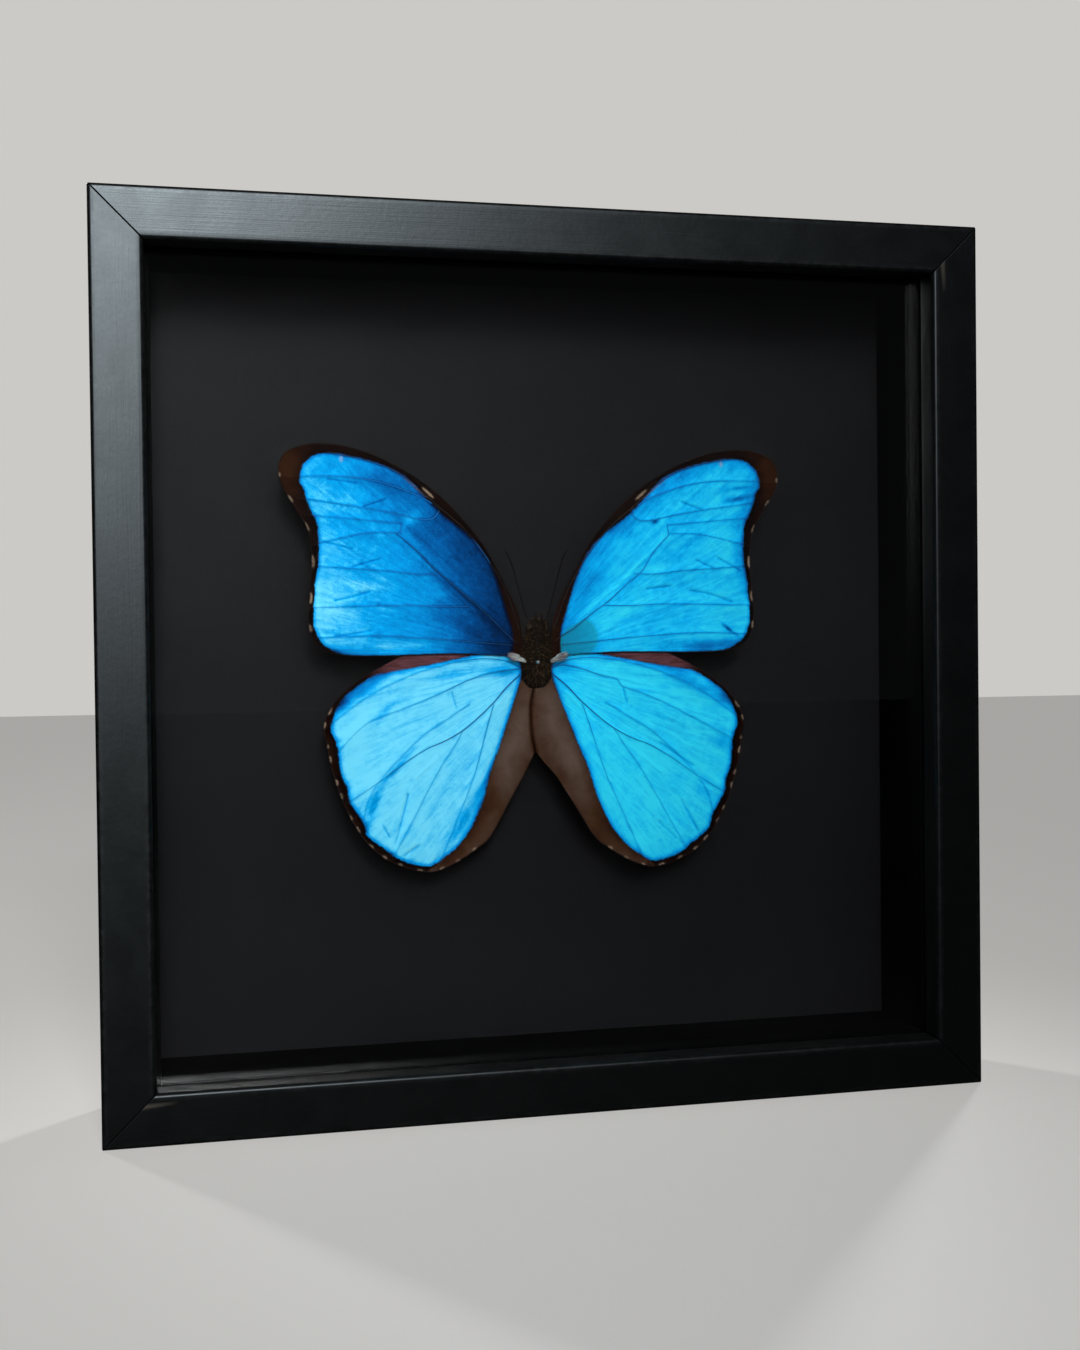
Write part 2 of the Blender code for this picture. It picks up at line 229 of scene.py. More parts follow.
def line_distance(points: Array, line: Array) -> tuple[Array, Array, Array]:
    """Measure how far points lie from a line of straight pieces.

    Args:
        points: Array of (x, y) points.
        line: Array of (x, y) points of the line.

    Returns:
        Distance to the line, side of the line (+1 to its left), and share of its length reached.
    """
    best = np.full(len(points), np.inf)
    side = np.ones(len(points))
    share = np.zeros(len(points))
    lengths = np.linalg.norm(np.diff(line, axis=0), axis=1)
    total = lengths.sum()
    run = 0.0
    for start, end, length in zip(line[:-1], line[1:], lengths):
        if length < 1e-9:
            continue
        way = end - start
        away = points - start
        t = np.clip(away @ way / length**2, 0, 1)
        gap = away - t[:, None] * way
        distance = np.hypot(gap[:, 0], gap[:, 1])
        nearer = distance < best - 1e-12
        best = np.where(nearer, distance, best)
        cross = way[0] * away[:, 1] - way[1] * away[:, 0]
        side = np.where(nearer, np.where(cross >= 0, 1.0, -1.0), side)
        share = np.where(nearer, (run + t * length) / total, share)
        run += length
    return best, side, share


def nearest_line(points: Array, lines: list[Array]) -> Array:
    """Return the distance from each point to the nearest of several lines."""
    best = np.full(len(points), 99.0)
    for line in lines:
        best = np.minimum(best, line_distance(points, line)[0])
    return best


def vertex_distance(points: Array, line: Array) -> Array:
    """Return how far points lie from the nearest of a dense line's vertices."""
    tree = KDTree(len(line))
    for number, place in enumerate(line):
        tree.insert((place[0], place[1], 0.0), number)
    tree.balance()
    return np.array([tree.find((x, y, 0.0))[2] for x, y in points])


def inside_outline(points: Array, outline: Array) -> Array:
    """Tell which points lie inside a closed outline.

    Args:
        points: Array of (x, y) points.
        outline: Array of (x, y) points of the outline.

    Returns:
        True for each point inside.
    """
    inside = np.zeros(len(points), bool)
    ahead = np.roll(outline, -1, axis=0)
    for (x0, y0), (x1, y1) in zip(outline, ahead):
        if y0 == y1:
            continue
        crosses = (y0 > points[:, 1]) != (y1 > points[:, 1])
        at = x0 + (points[:, 1] - y0) * (x1 - x0) / (y1 - y0)
        inside ^= crosses & (points[:, 0] < at)
    return inside


def ease(low: float, high: float, value: Array | float) -> Array:
    """Return 0 below low, 1 above high and a smooth step between them."""
    t = np.clip((np.asarray(value, float) - low) / (high - low), 0, 1)
    return t * t * (3 - 2 * t)


def bell(gap: Array, width: float) -> Array:
    """Return 1 where the gap is 0, falling away smoothly within the width."""
    return np.exp(-((gap / width) ** 2))


def circle(count: int) -> Array:
    """Return evenly spaced angles round a full turn."""
    return np.linspace(0, 2 * math.pi, count, endpoint=False)


def in_patch(u: Array, v: Array, at: Point2, size: Point2, turn: float) -> tuple[Array, Array]:
    """Return how far points lie along and across a turned patch, as shares of its size."""
    angle = math.radians(turn)
    du, dv = u - at[0], v - at[1]
    along = (du * math.cos(angle) + dv * math.sin(angle)) / size[0]
    return along, (dv * math.cos(angle) - du * math.sin(angle)) / size[1]


def ripple(x: Array, y: Array, seed: int, size: float, waves: int = 9) -> Array:
    """Return gentle uneven relief between about -1 and 1, the same for the same seed.

    Args:
        x: First coordinate, in metres.
        y: Second coordinate, in metres.
        seed: Seed of the directions and phases.
        size: Typical distance between two crests, in metres.
        waves: How many waves are laid over one another.

    Returns:
        The relief at each point.
    """
    rng = np.random.default_rng(seed)
    total = np.zeros(np.broadcast(x, y).shape)
    for _ in range(waves):
        angle, phase = rng.uniform(0, 2 * math.pi), rng.uniform(0, 2 * math.pi)
        stretch = rng.uniform(0.6, 1.8)
        step = 2 * math.pi / (size * stretch)
        total = total + np.sin(step * (x * math.cos(angle) + y * math.sin(angle)) + phase)
    return total / math.sqrt(waves) / 1.5


def skin_over(name: str, rings: list[Array], smooth: bool = True) -> Object:
    """Build a closed piece over rings of equal length, capped at both ends.

    Args:
        name: Name of the piece.
        rings: Arrays of 3-D points in metres.
        smooth: Whether faces are shaded smooth.

    Returns:
        The piece, with its faces turned outwards.
    """
    count, last = len(rings[0]), (len(rings) - 1) * len(rings[0])
    faces = [(low + i, low + (i + 1) % count, low + count + (i + 1) % count, low + count + i)
             for low in range(0, last, count) for i in range(count)]
    faces += [tuple(range(count - 1, -1, -1)), tuple(range(last, last + count))]
    return face_outwards(make_object(name, np.vstack(rings), faces, smooth))


def finish_piece(obj: Object, material: Material, slot: str, *nodes: str) -> Object:
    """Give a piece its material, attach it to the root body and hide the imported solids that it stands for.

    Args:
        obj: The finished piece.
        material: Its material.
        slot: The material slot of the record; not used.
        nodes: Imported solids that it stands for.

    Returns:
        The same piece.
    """
    obj.data.materials.clear()
    obj.data.materials.append(material)
    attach(obj, BODY)
    if nodes:
        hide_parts(*nodes)
    LOG.info("%s: %d faces", obj.name, len(obj.data.polygons))
    return obj


# ---- Node helpers and shared effects ----


class Wiring:
    """Adds and joins the nodes of one tree."""

    def __init__(self, tree: Tree) -> None:
        """Start on a node tree."""
        self.tree = tree

    def add(self, kind: str, inputs: dict | None = None, **settings: str | bool) -> Node:
        """Add a node.

        Args:
            kind: Blender's type name of the node.
            inputs: For each input name or number, a socket to link or a plain value.
            settings: Properties of the node.

        Returns:
            The new node.
        """
        node = self.tree.nodes.new(kind)
        for name, value in settings.items():
            setattr(node, name, value)
        return self.fill(node, inputs or {})

    def fill(self, node: Node, inputs: dict) -> Node:
        """Link or set inputs of a node by their name or number, and return the node."""
        for key, value in inputs.items():
            self.feed(node.inputs[key], value)
        return node

    def feed(self, socket: Socket, value: Feed) -> None:
        """Link a socket to an input, or set the input's plain value."""
        if isinstance(value, Socket):
            self.tree.links.new(value, socket)
        elif isinstance(value, tuple) and len(value) == 3 and socket.type == "RGBA":
            socket.default_value = (*value, 1.0)
        else:
            socket.default_value = value

    def math(self, operation: str, a: Feed, b: Feed = 0.0, clamp: bool = False) -> Socket:
        """Return the result of a Math node."""
        return self.add("ShaderNodeMath", {0: a, 1: b}, operation=operation, use_clamp=clamp).outputs[0]

    def times(self, a: Feed, b: Feed) -> Socket:
        """Return a product."""
        return self.math("MULTIPLY", a, b)

    def plus(self, a: Feed, b: Feed) -> Socket:
        """Return a sum."""
        return self.math("ADD", a, b)

    def vector(self, x: Feed = 0.0, y: Feed = 0.0, z: Feed = 0.0) -> Socket:
        """Return a vector made of three values."""
        return self.add("ShaderNodeCombineXYZ", {0: x, 1: y, 2: z}).outputs[0]

    def chance(self, low: float, high: float, seed: Feed) -> Socket:
        """Return a random value between two limits."""
        inputs = {2: low, 3: high, "Seed": seed}
        return self.add("FunctionNodeRandomValue", inputs, data_type="FLOAT").outputs[1]

    def mix(self, factor: Feed, a: Feed, b: Feed) -> Socket:
        """Return one colour mixed over another."""
        node = self.add("ShaderNodeMix", data_type="RGBA", clamp_factor=True)
        return self.fill(node, {0: factor, 6: a, 7: b}).outputs[2]

    def span(self, value: Socket, low: float, high: float, to_low: float = 0.0, to_high: float = 1.0,
             smooth: bool = True) -> Socket:
        """Return a value carried from one range to another, clamped, by a smooth or an even step."""
        node = self.add("ShaderNodeMapRange", {0: value, 1: low, 2: high, 3: to_low, 4: to_high})
        node.interpolation_type = "SMOOTHSTEP" if smooth else "LINEAR"
        return node.outputs[0]

    def sway(self, value: Socket, low: float, high: float, reach: float) -> Socket:
        """Return a value carried evenly from its range to one of equal reach either side of 0."""
        return self.span(value, low, high, -reach, reach, smooth=False)

    def ramp(self, value: Socket, stops: Stops) -> Socket:
        """Return a colour picked from a ramp."""
        node = self.add("ShaderNodeValToRGB", {0: value})
        elements = node.color_ramp.elements
        while len(elements) < len(stops):
            elements.new(0.5)
        for element, (place, colour) in zip(elements, stops):
            element.position = place
            element.color = (*colour, 1.0)
        return node.outputs[0]

    def read(self, name: str) -> Socket:
        """Return a value stored on the piece's own vertices."""
        return self.add("ShaderNodeAttribute", attribute_name=name).outputs["Fac"]

    def place(self, scale: tuple = (1.0, 1.0, 1.0), uv: str = "") -> Socket:
        """Return Object coordinates, or a UV map, stretched by a scale."""
        if uv:
            source = self.add("ShaderNodeUVMap", uv_map=uv).outputs[0]
        else:
            source = self.add("ShaderNodeTexCoord").outputs["Object"]
        return self.add("ShaderNodeMapping", {"Vector": source, "Scale": scale}).outputs[0]

    def noise(self, vector: Socket, scale: Feed, detail: float = 4.0, rough: float = 0.55,
              warp: float = 0.0) -> Socket:
        """Return the value of a noise texture."""
        inputs = {"Vector": vector, "Scale": scale, "Detail": detail, "Roughness": rough, "Distortion": warp}
        return self.add("ShaderNodeTexNoise", inputs).outputs[0]

    def bump(self, height: Socket, distance: float, strength: float = 1.0,
             normal: Socket | None = None) -> Socket:
        """Return a normal bent by a height."""
        inputs = {"Height": height, "Distance": distance, "Strength": strength}
        if normal is not None:
            inputs["Normal"] = normal
        return self.add("ShaderNodeBump", inputs).outputs[0]

    def effect(self, group: Tree, **inputs: Feed) -> Node:
        """Place a shared effect with its own values."""
        return self.add("ShaderNodeGroup", inputs, node_tree=group)


def new_group(name: str, inputs: dict[str, object], *outputs: str) -> tuple:
    """Start a shader node group.

    Args:
        name: Name of the group.
        inputs: For each input its starting value: a number, a colour, or None for a vector.
        outputs: Names of the outputs; "Colour" is a colour and the others are plain values.

    Returns:
        The group, its wiring, the sockets of its inputs and its output node.
    """
    group = bpy.data.node_groups.new(name, "ShaderNodeTree")
    for label, value in inputs.items():
        kind = {float: "NodeSocketFloat", tuple: "NodeSocketColor"}.get(type(value), "NodeSocketVector")
        socket = group.interface.new_socket(label, in_out="INPUT", socket_type=kind)
        if value is not None:
            socket.default_value = (*value, 1.0) if isinstance(value, tuple) else value
    for label in outputs:
        kind = "NodeSocketColor" if label == "Colour" else "NodeSocketFloat"
        group.interface.new_socket(label, in_out="OUTPUT", socket_type=kind)
    wiring = Wiring(group)
    return group, wiring, wiring.add("NodeGroupInput").outputs, wiring.add("NodeGroupOutput")


@dataclass
class Effects:
    """Effects that several finishes share."""

    dust: Tree = field(init=False)
    wear: Tree = field(init=False)
    grain: Tree = field(init=False)
    scales: Tree = field(init=False)

    def __post_init__(self) -> None:
        """Build each group once."""
        self.dust = self.build_dust()
        self.wear = self.build_wear()
        self.grain = self.build_grain()
        self.scales = self.build_scales()

    @staticmethod
    def build_dust() -> Tree:
        """Build fine settled dust: sparse specks over a colour."""
        inputs = {"Colour": (0.02, 0.02, 0.02), "Dust": (0.30, 0.30, 0.29), "Amount": 0.3, "Size": 900.0}
        group, w, given, end = new_group("dust", inputs, "Colour", "Mask")
        spots = w.add("ShaderNodeTexVoronoi", {"Vector": w.place(), "Scale": given["Size"]})
        speck = w.span(spots.outputs["Distance"], 0.16, 0.05)
        patch = w.span(w.noise(w.place(), 60.0, 3.0), 0.56, 0.74)
        mask = w.times(w.times(speck, patch), given["Amount"])
        w.fill(end, {"Colour": w.mix(mask, given["Colour"], given["Dust"]), "Mask": mask})
        return group

    @staticmethod
    def build_wear() -> Tree:
        """Build the rubbed look of an edge from a stored nearness to it."""
        inputs = {"Colour": (0.02, 0.02, 0.02), "Rubbed": (0.1, 0.1, 0.1), "Edge": 0.0, "Amount": 0.5}
        group, w, given, end = new_group("wear", inputs, "Colour", "Mask")
        uneven = w.span(w.noise(w.place(), 420.0, 5.0, 0.7), 0.35, 0.7)
        mask = w.times(w.times(given["Edge"], uneven), given["Amount"])
        w.fill(end, {"Colour": w.mix(mask, given["Colour"], given["Rubbed"]), "Mask": mask})
        return group

    @staticmethod
    def build_grain() -> Tree:
        """Build long thin strokes along the first direction of a UV map in metres."""
        inputs = {"Vector": None, "Fine": 2600.0, "Length": 45.0}
        group, w, given, end = new_group("grain", inputs, "Height", "Mottle")
        stretch = w.vector(given["Length"], given["Fine"], 1.0)
        lines = w.add("ShaderNodeVectorMath", {0: given["Vector"], 1: stretch}, operation="MULTIPLY")
        strokes = w.noise(lines.outputs[0], 1.0, 5.0, 0.6)
        w.fill(end, {"Height": strokes, "Mottle": w.noise(given["Vector"], 90.0, 4.0, 0.6, 0.4)})
        return group

    @staticmethod
    def build_scales() -> Tree:
        """Build rows of overlapping wing scales and the streaks between the veins."""
        inputs = {"Lie": None, "Rows": 6200.0, "Streak": 1100.0}
        group, w, given, end = new_group("scales", inputs, "Height", "Streaks", "Tint")
        cells = w.add("ShaderNodeTexVoronoi", {"Vector": given["Lie"], "Scale": given["Rows"],
                                               "Randomness": 0.55})
        long_way = w.add("ShaderNodeVectorMath", {0: given["Lie"], 1: (0.11, 1.0, 1.0)}, operation="MULTIPLY")
        streaks = w.noise(long_way.outputs[0], given["Streak"], 6.0, 0.62, 0.5)
        tint = w.add("ShaderNodeSeparateColor", {0: cells.outputs["Color"]}).outputs[0]
        w.fill(end, {"Height": cells.outputs["Distance"], "Streaks": streaks, "Tint": tint})
        return group


class GeometryTree:
    """Builds one Geometry Nodes tree with named inputs."""

    def __init__(self, name: str, inputs: dict[str, float | int | None]) -> None:
        """Start a tree that takes a mesh, named sizes and a material.

        Args:
            name: Name of the tree.
            inputs: For each size its value; a whole number makes an integer socket.
        """
        self.tree = bpy.data.node_groups.new(name, "GeometryNodeTree")
        face = self.tree.interface
        face.new_socket("Geometry", in_out="INPUT", socket_type="NodeSocketGeometry")
        for label, value in inputs.items():
            kind = "NodeSocketInt" if isinstance(value, int) else "NodeSocketFloat"
            face.new_socket(label, in_out="INPUT", socket_type=kind).default_value = value
        face.new_socket("Material", in_out="INPUT", socket_type="NodeSocketMaterial")
        face.new_socket("Geometry", in_out="OUTPUT", socket_type="NodeSocketGeometry")
        self.wiring = Wiring(self.tree)
        self.start = self.wiring.add("NodeGroupInput")

    def value(self, name: str) -> Socket:
        """Return one of the tree's inputs."""
        return self.start.outputs[name]

    def named(self, name: str, kind: str = "FLOAT") -> Socket:
        """Return an attribute stored on the geometry."""
        return self.wiring.add("GeometryNodeInputNamedAttribute", {0: name}, data_type=kind).outputs[0]

    def close(self, geometry: Socket) -> Tree:
        """End the tree in real geometry with its material.

        Args:
            geometry: The last geometry made.

        Returns:
            The finished tree.
        """
        w = self.wiring
        real = w.add("GeometryNodeRealizeInstances", {0: geometry}).outputs[0]
        dressed = w.add("GeometryNodeSetMaterial", {"Geometry": real, "Material": self.value("Material")})
        w.add("NodeGroupOutput", {0: dressed.outputs[0]})
        return self.tree

    def joined(self, *parts: Node) -> Socket:
        """Return the first outputs of several nodes as one geometry."""
        join = self.wiring.add("GeometryNodeJoinGeometry")
        for part in parts:
            self.tree.links.new(part.outputs[0], join.inputs[0])
        return join.outputs[0]

    def set_on_points(self, part: Socket, turn: Socket, size: Feed = (1.0, 1.0, 1.0)) -> Tree:
        """End the tree in one part, turned and scaled, on every point of its mesh."""
        inputs = {"Points": self.value("Geometry"), "Instance": part, "Rotation": turn, "Scale": size}
        return self.close(self.wiring.add("GeometryNodeInstanceOnPoints", inputs).outputs[0])

    def strands(self, sides: int, tip: float, way: Socket, length: Socket) -> Tree:
        """End the tree in one tapered strand on every point of its mesh.

        Args:
            sides: Sides of a strand.
            tip: Thickness of its tip as a share of its root.
            way: Its direction at each point.
            length: Its length at each point.

        Returns:
            The finished tree.
        """
        w = self.wiring
        strand = w.add("GeometryNodeMeshCone", {"Vertices": sides, "Side Segments": 2, "Fill Segments": 1,
                                                "Radius Top": tip, "Radius Bottom": 1.0, "Depth": 1.0})
        aim = w.add("FunctionNodeAlignRotationToVector", {"Vector": way}, axis="Z")
        size = w.vector(self.value("Width"), self.value("Width"), length)
        return self.set_on_points(strand.outputs[0], aim.outputs[0], size)


def grow(seed: Object, tree: Tree, material: Material, name: str, **values: float) -> Object:
    """Run a Geometry Nodes tree on a mesh and keep the result as a plain mesh.

    Args:
        seed: The mesh object that the tree starts from, which is then removed.
        tree: The tree.
        material: Material that the tree sets.
        name: Name of the finished piece.
        values: Sizes by the names of the tree's inputs.

    Returns:
        The finished piece, at the origin.
    """
    modifier = seed.modifiers.new(name, "NODES")
    modifier.node_group = tree
    sockets = {item.name: item.identifier for item in tree.interface.items_tree if item.in_out == "INPUT"}
    for label, value in values.items():
        modifier[sockets[label]] = value
    modifier[sockets["Material"]] = material
    graph = bpy.context.evaluated_depsgraph_get()
    graph.update()
    mesh = bpy.data.meshes.new_from_object(seed.evaluated_get(graph))
    mesh.name = name
    seed.modifiers.remove(modifier)
    bpy.data.objects.remove(seed, do_unlink=True)
    return link_object(name, mesh)


# ---- Finishes ----


def new_material(name: str) -> tuple[Material, Wiring, Node]:
    """Start a material.

    Args:
        name: Name of the material.

    Returns:
        The material, its wiring and its Principled shader.
    """
    material = bpy.data.materials.new(name)
    material.use_nodes = True
    return material, Wiring(material.node_tree), material.node_tree.nodes["Principled BSDF"]


def choose_surface(material: Material, w: Wiring, ray: str, usual: Node, seen: Node) -> None:
    """Give a material a second shader for one kind of ray.

    Args:
        material: The material.
        w: Its wiring.
        ray: The Light Path output that picks the second shader.
        usual: The shader for every other ray.
        seen: The shader for this kind of ray.
    """
    path = w.add("ShaderNodeLightPath").outputs[ray]
    choose = w.add("ShaderNodeMixShader", {0: path, 1: usual.outputs[0], 2: seen.outputs[0]})
    w.fill(material.node_tree.nodes["Material Output"], {"Surface": choose.outputs[0]})


@dataclass(frozen=True)
class Lacquer:
    """Satin black lacquer brushed along a length of moulding."""

    name: str = "frame_lacquer"
    dark: Colour = (0.0030, 0.0036, 0.0034)
    light: Colour = (0.0048, 0.0056, 0.0054)
    rubbed: Colour = (0.018, 0.019, 0.020)
    bare: Colour = (0.34, 0.30, 0.24)
    dust: Colour = (0.20, 0.20, 0.20)
    sheen: Colour = (0.80, 0.93, 1.0)
    roughness: tuple[float, float] = (0.29, 0.325)

    def build(self, effects: Effects) -> Material:
        """Return the lacquer."""
        material, w, shader = new_material(self.name)
        lie = w.place(uv="lie")
        grain = w.effect(effects.grain, Vector=lie, Fine=2400.0, Length=38.0).outputs
        broad = w.effect(effects.grain, Vector=lie, Fine=420.0, Length=16.0).outputs
        colour = w.mix(grain["Mottle"], self.dark, self.light)
        edge = w.read("edge")
        worn = w.effect(effects.wear, Colour=colour, Rubbed=self.rubbed, Edge=edge, Amount=0.55).outputs
        dusty = w.effect(effects.dust, Colour=worn["Colour"], Dust=self.dust, Amount=0.2, Size=1100.0).outputs
        rough = w.span(broad["Mottle"], 0.3, 0.7, *self.roughness)
        fine = w.bump(grain["Height"], 0.000035, 0.6)
        wide = w.bump(broad["Height"], 0.00004, 0.15, fine)
        orange_peel = w.noise(w.place(), 700.0, 2.0, 0.5)
        w.fill(shader, {"Base Color": w.mix(w.read("chip"), dusty["Colour"], self.bare),
                        "Roughness": w.plus(rough, w.times(worn["Mask"], 0.12)),
                        "Normal": w.bump(orange_peel, 0.00003, 0.35, wide),
                        "Specular IOR Level": 0.55, "Specular Tint": self.sheen})
        return material


@dataclass(frozen=True)
class Pane:
    """Clear float glass, with a faint film that only changes its gloss."""

    name: str = "pane_glass"
    tint: Colour = (0.985, 0.995, 0.99)
    ior: float = 1.5
    reflection: float = 0.15

    def build(self, effects: Effects) -> Material:
        """Return the glass, which lets light through to what lies behind it."""
        material, w, shader = new_material(self.name)
        film = w.noise(w.place(), 22.0, 4.0, 0.6, 0.8)
        w.fill(shader, {"Base Color": self.tint, "Transmission Weight": 1.0, "IOR": self.ior,
                        "Specular IOR Level": self.reflection,
                        "Roughness": w.span(film, 0.45, 0.8, 0.0, 0.035),
                        "Normal": w.bump(w.noise(w.place(), 14.0, 1.0), 0.00001, 0.2)})
        choose_surface(material, w, "Is Shadow Ray", shader, w.add("ShaderNodeBsdfTransparent"))
        return material


@dataclass(frozen=True)
class Paper:
    """Dyed card or paper with short fibres and a soft tooth."""

    name: str
    dark: Colour
    light: Colour
    fibre: Colour
    roughness: float = 0.86
    dust: float = 0.25
    gloss: float = 0.28

    def build(self, effects: Effects) -> Material:
        """Return the paper."""
        material, w, shader = new_material(self.name)
        cloud = w.noise(w.place(), 26.0, 5.0, 0.6)
        tooth = w.noise(w.place(), 2300.0, 3.0, 0.7)
        colour = w.mix(w.span(cloud, 0.3, 0.7), self.dark, self.light)
        colour = w.mix(w.span(tooth, 0.35, 0.75, 0.0, 0.35), colour, self.fibre)
        strands = w.span(w.noise(w.place((900.0, 900.0, 130.0)), 1.0, 2.0, 0.5, 1.2), 0.66, 0.74, 0.0, 0.28)
        colour = w.mix(strands, colour, self.fibre)
        dusty = w.effect(effects.dust, Colour=colour, Dust=(0.16, 0.16, 0.165), Amount=self.dust, Size=820.0)
        w.fill(shader, {"Base Color": dusty.outputs["Colour"], "Specular IOR Level": self.gloss,
                        "Roughness": w.span(tooth, 0.3, 0.7, self.roughness - 0.08, self.roughness + 0.06),
                        "Normal": w.bump(w.plus(tooth, strands), 0.00005, 0.55)})
        return material


@dataclass(frozen=True)
class Hardboard:
    """Pressed brown hardboard, its rough face a fine wire mesh print."""

    name: str = "hardboard_back"
    dark: Colour = (0.095, 0.052, 0.026)
    light: Colour = (0.20, 0.118, 0.062)
    wire: float = 2200.0

    def build(self, effects: Effects) -> Material:
        """Return the hardboard."""
        material, w, shader = new_material(self.name)
        fibres = w.noise(w.place((260.0, 260.0, 900.0)), 1.0, 5.0, 0.65, 1.0)
        flecks = w.noise(w.place(), 900.0, 3.0, 0.6)
        tone = w.plus(w.times(fibres, 0.65), w.times(flecks, 0.35))
        colour = w.mix(w.span(tone, 0.34, 0.66), self.dark, self.light)
        dusty = w.effect(effects.dust, Colour=colour, Dust=(0.42, 0.38, 0.33), Amount=0.5, Size=700.0)
        parts = w.add("ShaderNodeSeparateXYZ", {0: w.place((self.wire,) * 3)}).outputs
        crossed = w.times(w.math("SINE", parts[0]), w.math("SINE", parts[2]))
        w.fill(shader, {"Base Color": dusty.outputs["Colour"],
                        "Roughness": w.span(fibres, 0.3, 0.7, 0.62, 0.82),
                        "Normal": w.bump(crossed, 0.00008, 0.5, w.bump(fibres, 0.00012, 0.5))})
        return material


@dataclass(frozen=True)
class Metal:
    """Drawn or rolled metal with fine lines and a little dulling."""

    name: str
    bright: Colour = (0.56, 0.56, 0.57)
    dull: Colour = (0.30, 0.29, 0.28)
    roughness: tuple[float, float] = (0.24, 0.46)
    stretch: Colour = (300.0, 300.0, 2600.0)

    def build(self, effects: Effects) -> Material:
        """Return the metal."""
        material, w, shader = new_material(self.name)
        lines = w.noise(w.place(self.stretch), 1.0, 4.0, 0.6)
        stain = w.noise(w.place(), 350.0, 4.0, 0.6)
        colour = w.mix(w.span(stain, 0.42, 0.72), self.bright, self.dull)
        rough = w.span(stain, 0.3, 0.7, *self.roughness)
        w.fill(shader, {"Base Color": colour, "Metallic": 1.0, "Roughness": rough,
                        "Normal": w.bump(lines, 0.00002, 0.5)})
        return material


@dataclass(frozen=True)
class Hair:
    """Scales, hairs and horn that vary from strand to strand by the stored value "pick"."""

    name: str
    stops: Stops
    roughness: float = 0.6
    gloss: float = 0.15
    cloud: float = 500.0

    def build(self, effects: Effects) -> Material:
        """Return the finish."""
        material, w, shader = new_material(self.name)
        cloud = w.noise(w.place(), self.cloud, 4.0, 0.6)
        pick = w.plus(w.times(cloud, 0.5), w.times(w.read("pick"), 0.5))
        low, high = self.roughness - 0.1, self.roughness + 0.12
        w.fill(shader, {"Base Color": w.ramp(pick, self.stops),
                        "Roughness": w.span(cloud, 0.3, 0.7, low, high),
                        "Normal": w.bump(cloud, 0.00003, 0.5), "Specular IOR Level": self.gloss})
        return material


